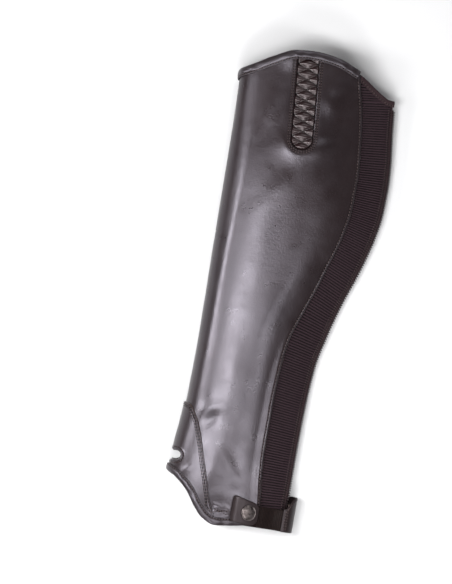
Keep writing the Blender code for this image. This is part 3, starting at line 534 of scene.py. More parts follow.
def make_finishes():
    """All the finishes, by name."""
    wax = {"Specular IOR Level": 0.58, "Specular Tint": (0.93, 0.88, 1.0, 1)}
    shine = {"Specular IOR Level": 0.46, "Specular Tint": (1, 0.90, 0.92, 1)}
    worn_wax = {"Specular IOR Level": 0.26, "Specular Tint": (0.97, 0.88, 0.95, 1)}
    made = {}
    for name, deep, warm, gloss, grain, fixed in (
        ("brown_hide", (0.0098, 0.0060, 0.0062), (0.0145, 0.0088, 0.0088), 0.30, 0.35, wax),
        ("ankle_hide", (0.0102, 0.0063, 0.0064), (0.0150, 0.0092, 0.0091), 0.31, 0.35, wax),
        ("quilt_hide", (0.0112, 0.0052, 0.0056), (0.0175, 0.0082, 0.0086), 0.30, 0.4, shine),
        ("binding_hide", (0.0105, 0.0072, 0.0076), (0.0160, 0.0108, 0.0110), 0.36, 0.5, wax),
        ("strap_hide", (0.0095, 0.0062, 0.0062), (0.0140, 0.0090, 0.0088), 0.42, 0.5, worn_wax),
    ):
        made[name] = smooth_hide(name, deep, warm, gloss, grain, fixed, name == "quilt_hide")
    for name, base, gloss, fixed, clouding, dark, pale, fine in PLAIN_FINISHES:
        plain = Finish(name, base, gloss, fixed=fixed)
        scale, detail, low, high = clouding
        plain.colour_between(plain.noise(scale, detail), low, high, dark, pale)
        scale, detail, height, strength = fine
        made[name] = plain.relief((plain.noise(scale, detail), height, strength))
    cloth = {"Sheen Weight": 0.02, "Sheen Roughness": 0.4, "Specular IOR Level": 0.10}
    for name, deep, light, weave in (
        ("ribbed_elastic", (0.0018, 0.0011, 0.0014), (0.0250, 0.0142, 0.0182), 1300.0),
        ("elastic_back", (0.045, 0.0100, 0.0150), (0.080, 0.0220, 0.0280), 1100.0),
        ("satin_tape", (0.0160, 0.0088, 0.0105), (0.0330, 0.0190, 0.0220), 1500.0),
        ("strap_webbing", (0.0014, 0.0008, 0.0006), (0.0088, 0.0040, 0.0034), 1400.0),
        ("black_tape", (0.0040, 0.0040, 0.0050), (0.014, 0.0140, 0.0155), 1400.0),
    ):
        woven = Finish(name, deep, 0.72, "UV", cloth)
        if name in ("ribbed_elastic", "strap_webbing"):
            made[name] = ribbed_cloth(woven, deep, light, weave)
            continue
        across, along = woven.lines(weave), woven.lines(0.7 * weave, math.pi / 2)
        tone = woven.colour_between(across, 0.2, 0.9, deep, light)
        woven.colour_between(woven.noise(45.0, 4.0), 0.40, 0.85, tone, light)
        woven.gloss_between(woven.noise(120.0, 3.0), 0.3, 0.7, 0.58, 0.80)
        fuzz = woven.noise(3000.0, 2.0)
        made[name] = woven.relief((across, 0.14, 0.5), (along, 0.10, 0.35), (fuzz, 0.05, 0.3))
    thread = Finish("bonded_thread", (0.055, 0.037, 0.036), 0.6, fixed={"Specular IOR Level": 0.25})
    thread.colour_between(thread.noise(400.0, 2.0), 0.3, 0.7, (0.034, 0.023, 0.023), (0.074, 0.050, 0.049))
    made["bonded_thread"] = thread.relief((thread.noise(2600.0, 2.0, (1, 1, 3)), 0.08, 0.5))
    metal = Finish("old_pewter", (0.32, 0.29, 0.27), 0.36, fixed={"Metallic": 1.0})
    worn = metal.noise(230.0, 6.0)
    metal.colour_between(worn, 0.35, 0.65, (0.044, 0.036, 0.035), (0.175, 0.150, 0.146))
    metal.gloss_between(metal.noise(380.0, 4.0), 0.3, 0.7, 0.34, 0.55)
    made["old_pewter"] = metal.relief((worn, 0.12, 0.4), (metal.cells(900.0), 0.04, 0.4))
    paper = Finish("pale_floor", (0.58, 0.58, 0.585), 0.9, fixed={"Specular IOR Level": 0.1})
    made["pale_floor"] = paper.relief((paper.noise(60.0, 2.0), 0.1, 0.05))
    return made


FINISHES = make_finishes()

# Meshes


def in_scene(name, data):
    made = bpy.data.objects.new(name, data)
    bpy.context.scene.collection.objects.link(made)
    return made


def new_piece(name, points, faces, finishes, finish_of_face=None, place=None, rib=None):
    """A mesh from points in millimetres on the cutting table, pressed flat where it meets the floor.

    place is one UV pair and rib one height from 0 to 1 for each point; finishes that read rib paint shade
    where it is low.
    """
    mesh = bpy.data.meshes.new(name)
    points = np.array(points, float)
    points[:, 2] = np.maximum(points[:, 2], 0.0)
    mesh.from_pydata(((points + ROW_SHIFT) / 1000).tolist(), [], [tuple(map(int, f)) for f in faces])
    for finish in finishes:
        mesh.materials.append(FINISHES[finish])
    if finish_of_face is not None:
        mesh.polygons.foreach_set("material_index", np.asarray(finish_of_face, np.int32))
    if place is not None:
        corners = np.zeros(len(mesh.loops), np.int32)
        mesh.loops.foreach_get("vertex_index", corners)
        layer = mesh.uv_layers.new(name="sewn")
        layer.data.foreach_set("uv", np.asarray(place, float)[corners].ravel() / 1000)
    if rib is not None:
        heights = mesh.attributes.new("rib", "FLOAT", "POINT")
        heights.data.foreach_set("value", np.asarray(rib, np.float32).ravel())
    mesh.shade_smooth()
    return in_scene(name, mesh)


def settle(piece, slot, *nodes):
    """The piece rides on the chap and stands for the named solids; the slot is not used."""
    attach(piece, "root")
    if nodes:
        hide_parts(*nodes)
    return piece


def sewn_wall(name, outer, inner, place, finishes, keep=None, rib=None):
    """A closed wall between two grids of points. keep marks the grid's faces that aren't cut away."""
    rows, cols = outer.shape[:2]
    under = rows * cols
    corner = (np.arange(rows - 1)[:, None] * cols + np.arange(cols - 1)).ravel()
    quads = np.stack([corner, corner + 1, corner + 1 + cols, corner + cols], axis=1)
    if keep is not None:
        quads = quads[keep.ravel()]
    directed = set(map(tuple, np.concatenate([quads[:, [k, (k + 1) % 4]] for k in range(4)]).tolist()))
    rim = np.array([(b, a, a + under, b + under) for a, b in directed if (b, a) not in directed])
    rim = rim[np.lexsort(rim.T)]
    faces = np.vstack([quads, quads[:, ::-1] + under, rim])
    finish_of_face = np.repeat([0, 1, 2], [len(quads), len(quads), len(rim)])
    used, faces = np.unique(faces, return_inverse=True)
    faces = faces.reshape(-1, 4)
    points = np.vstack([outer.reshape(-1, 3), inner.reshape(-1, 3)])[used]
    places = np.vstack([place.reshape(-1, 2)] * 2)[used]
    if rib is not None:
        rib = np.concatenate([np.broadcast_to(rib, outer.shape[:2]).ravel()] * 2)[used]
    return new_piece(name, points, faces, finishes, finish_of_face, places, rib)


def place_on_cut(c, y):
    """Where points lie on the flat cut: along the section and up the leg."""
    length = np.where(c >= 0, half_length(y, OUTER_SIDE), half_length(y, INNER_SIDE))
    return np.stack([c * length, y], axis=-1)


def window_axes():
    foot, top = np.array(WINDOW_FOOT), np.array(WINDOW_TOP)
    length = float(np.linalg.norm(top - foot))
    up = (top - foot) / length
    return foot, up, np.array([up[1], -up[0]]), length


def window_distance(x, y):
    """How far a point seen from above lies outside the window's edge."""
    foot, up, right, length = window_axes()
    along = (x - foot[0]) * up[0] + (y - foot[1]) * up[1]
    across = (x - foot[0]) * right[0] + (y - foot[1]) * right[1]
    return np.maximum(np.hypot(np.minimum(along, 0), across) - WINDOW_HALF_WIDTH, along - length - 2.4)


def notch_distance(x, y):
    middle = float(shin_edge(NOTCH_AT)) + NOTCH_REACH - NOTCH_HALF_HEIGHT
    return np.hypot(np.maximum(x - middle, 0), y - NOTCH_AT) - NOTCH_HALF_HEIGHT


def cut_out(c, y, distance, there):
    """Cut a grid along a line seen from above: the grid with points moved onto the cut, and what stays.

    distance is how far a point lies outside the line. there marks the points that may be cut at all.
    """
    at = on_skin(c, y)
    middle = (at[:-1, :-1] + at[1:, :-1] + at[:-1, 1:] + at[1:, 1:]) / 4
    may = there[:-1, :-1] & there[1:, :-1] & there[:-1, 1:] & there[1:, 1:]
    keep = (distance(middle[..., 0], middle[..., 1]) > 0) | ~may
    near_kept, near_cut = np.zeros(c.shape, bool), np.zeros(c.shape, bool)
    for rows in (slice(0, -1), slice(1, None)):
        for cols in (slice(0, -1), slice(1, None)):
            near_kept[rows, cols] |= keep
            near_cut[rows, cols] |= ~keep
    c, y = c.copy(), y.copy()
    step = 0.05
    for i, j in zip(*np.nonzero(near_kept & near_cut)):
        x0, y0 = at[i, j, 0], y[i, j]
        for _ in range(3):
            gap = float(distance(x0, y0))
            slope = np.array([distance(x0 + step, y0) - gap, distance(x0, y0 + step) - gap]) / step
            slope /= max(1e-6, float(slope @ slope))
            x0, y0 = x0 - gap * slope[0], y0 - gap * slope[1]
        if abs(c[i, j]) > 0.03:
            c[i, j] = share_at(x0, y0, OUTER_SIDE if c[i, j] > 0 else INNER_SIDE)
        y[i, j] = y0
    return c, y, keep


# Stitches, and the needle holes between them as near-black blobs of painted shade, are gathered here and made
# as two pieces at the end
STITCHES = []
NEEDLE_HOLE_SHADES = []


def read_along(rows, walked, at):
    return np.stack([np.interp(at, walked, rows[:, k]) for k in range(3)], axis=1)


def sew_points(points, normals, pitch, long, wide=0.9, high=0.6, skip_ends=0.5):
    """Stitches along a line of points, one for each pitch, with a needle hole between two, drawn as a flat
    near-black blob of painted shade.
    """
    walked = walk(points)
    count = max(1, int((walked[-1] - 2 * skip_ends) / pitch))
    step = (walked[-1] - 2 * skip_ends) / count
    marks = skip_ends + (np.arange(count) + 0.5) * step
    # A needle hole is a flat dark blob on the leather: painted shade of the hole
    hole = (0.5 * max(0.5, step - long + 0.5), 0.6 * wide, 0.24)
    thread = (0.5 * long, 0.5 * wide, 0.5 * high)
    for places, sizes, found in ((marks, thread, STITCHES), (marks[:-1] + 0.5 * step, hole, NEEDLE_HOLE_SHADES)):
        at, out = read_along(points, walked, places), read_along(normals, walked, places)
        ends = [read_along(points, walked, places + way * 0.5 * long) for way in (1, -1)]
        along = unit(ends[0] - ends[1])
        out = unit(out - along * np.sum(out * along, axis=1, keepdims=True))
        found += [(p, t, np.cross(n, t), n, *sizes) for p, t, n in zip(at, along, out)]


def sew(c, y, out, pitch=2.9, long=1.9, **sizes):
    """A row of stitches over the skin along c and y, at an offset off it."""
    c, y = np.broadcast_arrays(np.asarray(c, float), np.asarray(y, float))
    sew_points(off_skin(c, y, out), skin_normal(c, y), pitch, long, **sizes)


def take_shape(axis, size=(1, 1, 1)):
    """The points and faces of the form just added, turned a quarter about an axis and sized."""
    form = bpy.context.object
    bpy.ops.object.mode_set(mode="EDIT")
    bpy.ops.mesh.select_all(action="SELECT")
    bpy.ops.transform.rotate(value=math.pi / 2, orient_axis=axis, center_override=(0, 0, 0))
    bpy.ops.transform.resize(value=size)
    bpy.ops.object.mode_set(mode="OBJECT")
    shape = np.array([v.co for v in form.data.vertices])
    faces = [tuple(p.vertices) for p in form.data.polygons]
    bpy.data.objects.remove(form)
    return shape, faces


def copies(name, shapes, faces, finish):
    """One piece of many shapes that share their faces."""
    count = len(shapes[0])
    every = [tuple(v + k * count for v in face) for k in range(len(shapes)) for face in faces]
    return new_piece(name, np.vstack(shapes), every, [finish])


def make_stitches():
    """One plump stitch is modelled and copied to every place in the lists; the needle holes' copies are
    near-black, as painted shade.
    """
    bpy.ops.object.select_all(action="DESELECT")
    bpy.ops.mesh.primitive_uv_sphere_add(segments=6, ring_count=4, radius=1.0)
    shape, faces = take_shape("Y")
    shape[:, 0] = np.sign(shape[:, 0]) * np.abs(shape[:, 0]) ** 0.6
    for name, found, finish in (
        ("stitches", STITCHES, "bonded_thread"), ("needle_hole_shades", NEEDLE_HOLE_SHADES, "needle_shadow"),
    ):
        shapes = [
            at + (shape * np.array(halves)) @ np.stack([along, across, out])
            for at, along, across, out, *halves in found
        ]
        piece = copies(name, shapes, faces, finish)
        outwards(piece)
        settle(piece, "thread")


# Reliefs


def leather_form(c, y):
    """The leather's broad swells and creases, off the skin."""
    side = np.where(c >= 0, 1, -1)
    x = on_skin(c, y)[..., 0]
    total = 0.16 * np.sin(y / 23.0 + 1.3 * np.sin(x / 31.0)) * np.sin(x / 17.0 + y / 61.0)
    for own_side, x0, y0, half_long, half_wide, turn, rise in CREASES:
        a = math.radians(turn)
        along = (x - x0) * math.cos(a) + (y - y0) * math.sin(a)
        across = -(x - x0) * math.sin(a) + (y - y0) * math.cos(a)
        form = rise * np.exp(-((along / half_long) ** 2) - (across / half_wide) ** 2)
        total = total + np.where(side == own_side, form, 0)
    return total * smoothstep(0.05, 0.15, np.abs(c))


def groove(distance, at, half_wide, depth):
    return -depth * np.exp(-(((distance - at) / half_wide) ** 2))


def rolled(distance, reach, drop):
    """An edge that rolls down by drop over the last reach before it."""
    return -drop * (1 - smoothstep(0.0, reach, distance)) ** 2


def leather_out(c, y):
    """The leather's face off the skin: its forms, its rolled edges, puckers and stitched grooves."""
    x = on_skin(c, y)[..., 0]
    seam = (seam_share(y) - c) * half_length(y, OUTER_SIDE)
    window = np.where(c > 0, window_distance(x, y), 99.0)
    zip_side = np.where(c < 0, (c + 1) * half_length(y, INNER_SIDE) - PANEL_TO_ZIP, 99.0)
    total = leather_form(c, y)
    total += rolled(seam, 1.1, 0.85) + groove(seam, SEAM_ROW, 0.6, 0.30)
    total += 1.0 * np.exp(-(((seam - 3.8) / 3.2) ** 2)) * smoothstep(-10.0, -70.0, y)
    pucker = np.exp(-np.maximum(seam - SEAM_ROW, 0) / 3.0) * smoothstep(0.6, 2.0, seam)
    total += 0.14 * np.sin(y / 1.6 + 0.8 * np.sin(y / 13.0)) * pucker
    foot_swell = np.exp(-((np.maximum(window - 1.5, 0) / 13.0) ** 2)) * smoothstep(170.0, 148.0, y)
    total += 2.0 * foot_swell * smoothstep(-1.0, 1.0, window) + 0.1 * np.exp(-(((window - 6) / 3) ** 2))
    total += rolled(window, 1.3, 0.8)
    for row in WINDOW_ROWS:
        total += groove(window, row, 0.6, 0.20)
    total += rolled(zip_side, 1.2, 0.8) + groove(zip_side, ZIP_ROW, 0.6, 0.25)
    return total


def ankle_out(c, y):
    """The ankle panel's face: it follows the leather below, with its own rolled and stitched edge."""
    rise = ankle_seam(c) - y
    total = SEAM_GAP + ANKLE_LEATHER + leather_form(c, y)
    return total + rolled(rise, 1.0, 0.5) + groove(rise, 3.6, 0.8, 0.3)


def round_notch(x, y):
    """The notch's lip: rolled down at the cut and swollen just outside it."""
    gap = notch_distance(x, y)
    return rolled(gap, 1.3, 0.7) + 0.35 * np.exp(-(((gap - 2.2) / 1.1) ** 2))


# Leather


def full_columns(t, hem_c, top_c, share_of):
    """A column of points from the hem to the top edge. share_of gives the share at each y."""
    y = float(hem_edge(hem_c)) + (float(top_edge(top_c)) - float(hem_edge(hem_c))) * t
    return share_of(y), y


def leather_grid():
    """The main panel's points: finer round the window, the notch and the sewn edges."""
    t = np.concatenate([
        np.linspace(0, 0.075, 28), np.linspace(0.082, 0.775, 86), np.linspace(0.778, 1.0, 84),
    ])
    fixed = np.concatenate([
        np.linspace(-0.90, -0.24, 32), np.linspace(-0.225, 0.225, 41), np.linspace(0.245, 0.34, 8),
        np.linspace(0.346, 0.60, 46),
    ])
    from_zip = PANEL_TO_ZIP + np.array([0.0, 0.25, 0.7, 1.3, 2.2, 2.7, 3.3, 4.2])
    from_seam = np.array([9.0, 6.5, 4.8, 3.8, 3.2, 2.8, 2.4, 2.0, 1.5, 1.0, 0.55, 0.2, 0.0])
    columns = []
    for distance in from_zip:
        columns.append(full_columns(t, -0.96, -0.97, lambda y: zip_share(y, INNER_SIDE, distance)))
    for c in fixed:
        columns.append(full_columns(t, c, c, lambda y: np.full(len(y), c)))
    for lean in (0.25, 0.5, 0.75):
        reach = lambda y: fixed[-1] + (moved(seam_share(y), y, -from_seam[0]) - fixed[-1]) * lean
        columns.append(full_columns(t, reach(-207.0), reach(236.0), reach))
    for distance in from_seam:
        reach = lambda y: moved(seam_share(y), y, -distance)
        columns.append(full_columns(t, reach(-207.0), reach(236.0), reach))
    c, y = (np.array([column[axis] for column in columns]).T for axis in range(2))
    c, y, kept = cut_out(c, y, window_distance, c > 0.3)
    c, y, also_kept = cut_out(c, y, notch_distance, np.abs(c) < 0.3)
    return c, y, kept & also_kept


def leather_shell():
    """The main panel as one cut piece, from the elastic's seam round the shin to the zip."""
    c, y, kept = leather_grid()
    out = leather_out(c, y) + round_notch(on_skin(c, y)[..., 0], y)
    inside = -LEATHER + 0.5 * leather_form(c, y)
    finishes = ["brown_hide", "suede_lining", "painted_edge"]
    outer, inner = off_skin(c, y, out), off_skin(c, y, inside)
    shell = sewn_wall("leather_shell", outer, inner, place_on_cut(c, y), finishes, kept)
    seam_y = np.arange(-203.0, 229.0, 1.0)
    seam_c = moved(seam_share(seam_y), seam_y, -SEAM_ROW)
    sew(seam_c, seam_y, leather_out(seam_c, seam_y) + STITCH_LIFT)
    zip_y = np.arange(-196.0, 203.0, 1.0)
    zip_c = zip_share(zip_y, INNER_SIDE, PANEL_TO_ZIP + ZIP_ROW)
    sew(zip_c, zip_y, leather_out(zip_c, zip_y) + STITCH_LIFT)
    foot, up, right, length = window_axes()
    for gap in WINDOW_ROWS:
        wide = WINDOW_HALF_WIDTH + gap
        turns = np.linspace(0, math.pi, 40)
        arc = [foot + wide * (right * math.cos(a) - up * math.sin(a)) for a in turns]
        straight = np.linspace(length - 1.0, 0.0, 60)[:, None]
        down, back = foot + up * straight + right * wide, foot + up * straight[::-1] - right * wide
        line = np.vstack([down, arc, back])
        line_c = shares_at(line[:, 0], line[:, 1], OUTER_SIDE)
        sew(line_c, line[:, 1], leather_out(line_c, line[:, 1]) + 0.1, 2.6, 1.6, wide=0.75)
    settle(shell, "leather", "main_panel")
    return shell


def ankle_wrap():
    """The second layer round the instep, on the main panel."""
    low, high = ANKLE_END[INNER_SIDE], ANKLE_END[OUTER_SIDE]
    shares = np.linspace(low, high, 100)
    t = np.concatenate([np.linspace(0, 0.88, 46), np.linspace(0.893, 1.0, 16)])[:, None]
    bottom, top = hem_edge(shares), ankle_seam(shares)
    y = bottom + (top - bottom) * t
    c = np.broadcast_to(shares, y.shape)
    c, y, kept = cut_out(c, y, notch_distance, np.abs(c) < 0.3)
    notch = round_notch(on_skin(c, y)[..., 0], y)
    outer = off_skin(c, y, ankle_out(c, y) + notch)
    inner = off_skin(c, y, SEAM_GAP + leather_form(c, y) + np.minimum(notch, 0) * 0.4)
    finishes = ["ankle_hide", "suede_lining", "cut_edge"]
    wrap = sewn_wall("ankle_wrap", outer, inner, place_on_cut(c, y), finishes, kept)
    inside = np.linspace(low + 0.012, high - 0.012, 220)
    steep = np.gradient(ankle_seam(inside), inside * half_length(-150.0, OUTER_SIDE))
    lean = np.hypot(1, steep)
    for gap, long, wide in ((1.1, 1.6, 0.7), (2.6, 1.1, 0.85), (4.1, 1.6, 0.7)):
        line_y = ankle_seam(inside) - gap * lean
        seen = line_y > hem_edge(inside) + 7.5
        sew(inside[seen], line_y[seen], ankle_out(inside, line_y)[seen] + STITCH_LIFT, 3.0, long, wide=wide)
    tack = np.linspace(-33.0, -17.0, 40)
    for y0, y1 in ((-199.5, -203.0), (-202.0, -199.0)):
        tack_y = y0 + (y1 - y0) * np.linspace(0, 1, 40) + 0.5 * np.sin(tack)
        tack_c = shares_at(tack, tack_y, OUTER_SIDE)
        on_wrap = tack_c < ANKLE_END[OUTER_SIDE]
        above = np.where(on_wrap, ankle_out(tack_c, tack_y), leather_out(tack_c, tack_y))
        sew(tack_c, tack_y, above + 0.15, 2.3, 1.6, wide=0.7)
    notch_lip()
    settle(wrap, "leather", "ankle_panel")
    return wrap


def notch_lip():
    """A rolled bead of leather stitched round the notch, on the ankle panel."""
    middle = float(shin_edge(NOTCH_AT)) + NOTCH_REACH - NOTCH_HALF_HEIGHT
    reach = NOTCH_HALF_HEIGHT + 1.3
    turns = np.linspace(-math.pi / 2, math.pi / 2, 30)
    for side, name in ((OUTER_SIDE, "notch_lip_outer"), (INNER_SIDE, "notch_lip_inner")):
        line = [(middle + reach * math.cos(a), NOTCH_AT + reach * math.sin(a)) for a in turns]
        straight = np.linspace(middle - 1.0, float(shin_edge(NOTCH_AT)) + 1.2, 5)
        to_arc, from_arc = ([(x, NOTCH_AT + way * reach) for x in straight[::way]] for way in (-1, 1))
        line = to_arc + line + from_arc
        x, y = np.array(line).T
        c = shares_at(x, y, side)
        at, out = off_skin(c, y, ankle_out(c, y) + 0.35), skin_normal(c, y)
        across = np.cross(out, unit(np.gradient(at, axis=0)))
        around = np.linspace(0, math.tau, 11)[:-1]
        rings = np.array([
            [p + 1.15 * (b * math.cos(a) + 0.75 * n * math.sin(a)) for a in around]
            for p, b, n in zip(at, across, out)
        ])
        tube = closed_sweep(name, rings, "binding_hide")
        settle(tube, "leather")
        sew_points(at + across * -1.7 + out * 0.1, out, 2.3, 1.6)


def closed_sweep(name, rings, finish, place=None, rib=None):
    """A closed solid through rings of equally many points. An end is closed by quads across it."""
    count, around = rings.shape[:2]
    k = np.arange(around)
    start = (np.arange(count - 1) * around)[:, None]
    on = start + (k + 1) % around
    sides = np.stack([start + k, on, on + around, start + k + around], axis=-1)
    faces = sides.reshape(-1, 4)[:, ::-1].tolist()
    for first, turn in ((0, 1), ((count - 1) * around, -1)):
        for j in range(around // 2 - 1):
            faces.append([first + v for v in (j, j + 1, around - 2 - j, around - 1 - j)][::turn])
    points = rings.reshape(-1, 3)
    if place is None:
        place = np.stack(np.broadcast_arrays(walk(rings[:, 0])[:, None], k[None] * 0.8), axis=-1)
    rib = None if rib is None else np.repeat(rib, around)
    piece = new_piece(name, points, faces, [finish], None, place.reshape(-1, 2), rib)
    outwards(piece)
    return piece


def sweep_between(name, far, near, finish, rib=None):
    """A closed solid between two faces, each given as lines of points along it with their UV places."""
    contour = far + near[::-1]
    rings, place = (np.stack([line[k] for line in contour], axis=1) for k in range(2))
    return closed_sweep(name, rings, finish, place, rib)


def outwards(piece):
    """Turn the faces of a closed piece outwards."""
    work = bmesh.new()
    work.from_mesh(piece.data)
    bmesh.ops.recalc_face_normals(work, faces=work.faces)
    work.to_mesh(piece.data)
    work.free()


# Bindings


def folded_binding(
    name, c, edge_y, panel_side, panel_out, panel_in, thick, depths, finish, puff, least_share=None
):
    """A strip over a panel's edge: a puffed outer leg with a stitched groove, the fold, the inner leg.

    panel_side is -1 where the panel lies below the edge along Y, and 1 where it lies above it.
    """
    reach = np.where(c >= 0, half_length(edge_y, OUTER_SIDE), half_length(edge_y, INNER_SIDE))
    run, rise = np.gradient(c * reach), np.gradient(edge_y)
    length = np.hypot(run, rise)
    walked = np.cumsum(length)
    step_c, step_y = -rise / length * panel_side / reach, run / length * panel_side
    gap = LEG_GAP + FOLD_EASE * np.exp(-((c / 0.12) ** 2))
    top, foot = panel_out + gap, panel_in - gap
    middle, half = 0.5 * (top + foot), 0.5 * (top - foot)
    deep, short = depths
    wrinkle = puff * (np.sin(walked / 2.3 + 1.7 * np.sin(walked / 9.0)) * 0.45 + 0.35 * np.sin(walked / 5.1))
    crown = lambda share: (puff + wrinkle) * math.sin(math.pi * share) ** 0.8
    legs = [(deep, top, 0.30 * thick), (deep - 0.2, top, 0.80 * thick), (deep - 0.6, top, thick)]
    legs += [(deep - 1.0, top, thick - 0.12), (deep - 1.4, top, thick - 0.26)]
    legs.append((deep - 1.8, top, thick - 0.08))
    for s in (0, 0.2, 0.4, 0.6, 0.8, 0.97):
        legs.append((deep - 2.2 - (deep - 2.2) * s, top, thick + crown(0.12 + 0.88 * s)))
    profile = [(into, base + rise_of, into, base) for into, base, rise_of in legs]
    for k in range(1, 9):
        a = math.pi * (0.5 - k / 9)
        profile.append((
            -(SEAM_GAP + thick) * math.cos(a), middle + (half + thick) * math.sin(a),
            -SEAM_GAP * math.cos(a), middle + half * math.sin(a),
        ))
    for into, share in ((0.0, 1.0), (0.5 * short, 1.0), (short - 0.3, 0.9), (short, 0.35)):
        profile.append((into, foot - share * thick, into, foot))
    far, near = [], []
    for far_into, far_out, near_into, near_out in profile:
        for line, place, out in ((far, far_into, far_out), (near, near_into, near_out)):
            leg_c, leg_y = c + step_c * place, edge_y + step_y * place
            if least_share:
                leg_c = np.maximum(leg_c, least_share(leg_y))
            uv = np.stack([walked, np.full(len(c), float(place))], axis=-1)
            line.append((off_skin(leg_c, leg_y, out), uv))
    piece = sweep_between(name, far, near, finish)
    line_c, line_y = c + step_c * (deep - 1.4), edge_y + step_y * (deep - 1.4)
    if least_share:
        line_c = np.maximum(line_c, least_share(line_y))
    sew_points(off_skin(line_c, line_y, top + thick - 0.06), skin_normal(line_c, line_y), 2.8, 1.8)
    return piece


def past_leather(y):
    """The share just past the leather's rear edge at y."""
    return moved(seam_share(y), y, SEAM_GAP + 0.5)


def elastic_offset(c, y):
    """How far the elastic's face lies off the skin: under the leather at its seam, on it at the zip."""
    seam = seam_share(y)
    return -(LEATHER + UNDER_GAP) * (1 - smoothstep(0, 1, (c - seam) / (1 - seam)))


def bindings():
    """Leather strips over the top edge and the hem, and a cloth strip over the elastic's top edge."""
    shares = np.linspace(zip_share(213.0, INNER_SIDE, PANEL_TO_ZIP), float(seam_share(236.0)), 330)
    form = leather_form(shares, top_edge(shares) - 3.0)
    over_elastic = smoothstep(-12.0, -9.5, (shares - shares[-1]) * half_length(236.0, OUTER_SIDE))
    inner = -LEATHER - (UNDER_GAP + ELASTIC) * over_elastic
    top = folded_binding(
        "top_binding_strip", shares, top_edge(shares), -1, form, inner, LEATHER_BINDING,
        (TOP_BINDING_DEPTH, SHORT_LEG), "binding_hide", 0.55,
    )
    settle(top, "leather", "top_binding")
    shares = np.linspace(float(past_leather(233.0)), float(zip_share(213.0, OUTER_SIDE, 1.2)), 70)
    edge = elastic_top_edge(shares)
    out = elastic_offset(shares, edge)
    cloth = folded_binding(
        "elastic_top_strip", shares, edge, -1, out + 0.15, out - ELASTIC, CLOTH_BINDING,
        (CLOTH_BINDING_DEPTH, 2.2), "satin_tape", 0.15, past_leather,
    )
    settle(cloth, "elastic", "elastic_binding")
    shares = np.linspace(zip_share(-200.0, INNER_SIDE, PANEL_TO_ZIP), float(seam_share(-207.0)), 330)
    low, high = ANKLE_END[INNER_SIDE], ANKLE_END[OUTER_SIDE]
    past_ankle = smoothstep(high + 0.005, high + 0.08, shares)
    on_ankle = smoothstep(low - 0.03, low - 0.005, shares) * (1 - past_ankle)
    on_elastic = smoothstep(-12.0, -9.5, (shares - shares[-1]) * half_length(-207.0, OUTER_SIDE))
    form = leather_form(shares, hem_edge(shares) + 3.0)
    hem = folded_binding(
        "hem_strip", shares, hem_edge(shares), 1, (SEAM_GAP + ANKLE_LEATHER) * on_ankle + form,
        -LEATHER - (UNDER_GAP + ELASTIC) * on_elastic, LEATHER_BINDING, (HEM_BINDING_DEPTH, SHORT_LEG),
        "binding_hide", 0.55,
    )
    settle(hem, "leather", "hem_binding")
    return top, cloth, hem


# Quilted insert


def quilt_lines(along, across):
    """The share of the way from one stitch line to the next, for the rising and the falling lines."""
    return (along / QUILT_PITCH + across * 0.5) % 1.0, (along / QUILT_PITCH - across * 0.5) % 1.0


def insert_place(along, across):
    """Where a point of the insert lies: the share c, y and its offset off the skin."""
    foot, up, right, length = window_axes()
    half, full = WINDOW_HALF_WIDTH, WINDOW_HALF_WIDTH + INSERT_MARGIN
    past_foot = max(0.0, -along)
    room = math.sqrt(max(0.0, 1 - (past_foot / full) ** 2))
    x, y = foot + up * along + right * across * half * room
    y = min(y, float(top_edge(share_at(x, 243.0, OUTER_SIDE))) - SHORT_LEG - 0.8)
    clear = 1 - math.hypot(past_foot, across * room * half) / half
    inside = float(smoothstep(-0.06, 0.08, clear)) * float(smoothstep(-3.6, -2.0, length - along))
    from_top = float(smoothstep(-2.2, 0.6, length - along))
    rising, falling = quilt_lines(along + 2.5, across * room)
    puff = (math.sin(math.pi * rising) * math.sin(math.pi * falling)) ** 0.75 * from_top
    out = -LEATHER - INSERT_GAP + inside * (QUILT_RISE + QUILT_HEIGHT * puff)
    return share_at(x, y, OUTER_SIDE), y, out, puff * inside


def quilted_insert():
    """The padded leather behind the window, raised in puffs between crossed rows of stitches."""
    _, _, _, length = window_axes()
    half, full = WINDOW_HALF_WIDTH, WINDOW_HALF_WIDTH + INSERT_MARGIN
    across_marks = np.linspace(-full / half, full / half, 57)
    along_marks = np.concatenate([np.linspace(-1.4 * half, -0.7, 24), np.linspace(0.0, length + 3.0, 150)])
    grid = np.array([[insert_place(along, across) for across in across_marks] for along in along_marks])
    c, y, out = grid[..., 0], grid[..., 1], grid[..., 2]
    under = np.full(out.shape, -LEATHER - INSERT_GAP - INSERT_WALL)
    # The puff heights go along as "rib", from which the quilt's finish paints shade at the stitch lines
    pad = sewn_wall(
        "quilted_pad", off_skin(c, y, out), off_skin(c, y, under), place_on_cut(c, y),
        ["quilt_hide", "suede_lining", "cut_edge"], rib=grid[..., 3],
    )
    for slant in (-1, 1):
        for k in range(-2, 10):
            line = []
            for across in np.linspace(-0.93, 0.93, 14):
                along = QUILT_PITCH * (k + slant * 0.5 * across) - 2.5
                past_foot = max(0.0, -along)
                if along < length - 1.0 and math.hypot(past_foot, across * half) < 0.93 * half:
                    line.append(insert_place(along, across))
            if len(line) > 4:
                c, y, out, _ = np.array(line).T
                sew(c, y, out + 0.14, 2.6, 1.9, wide=0.5, high=0.4, skip_ends=0.2)
    settle(pad, "leather", "quilted_insert")


# Elastic and zip


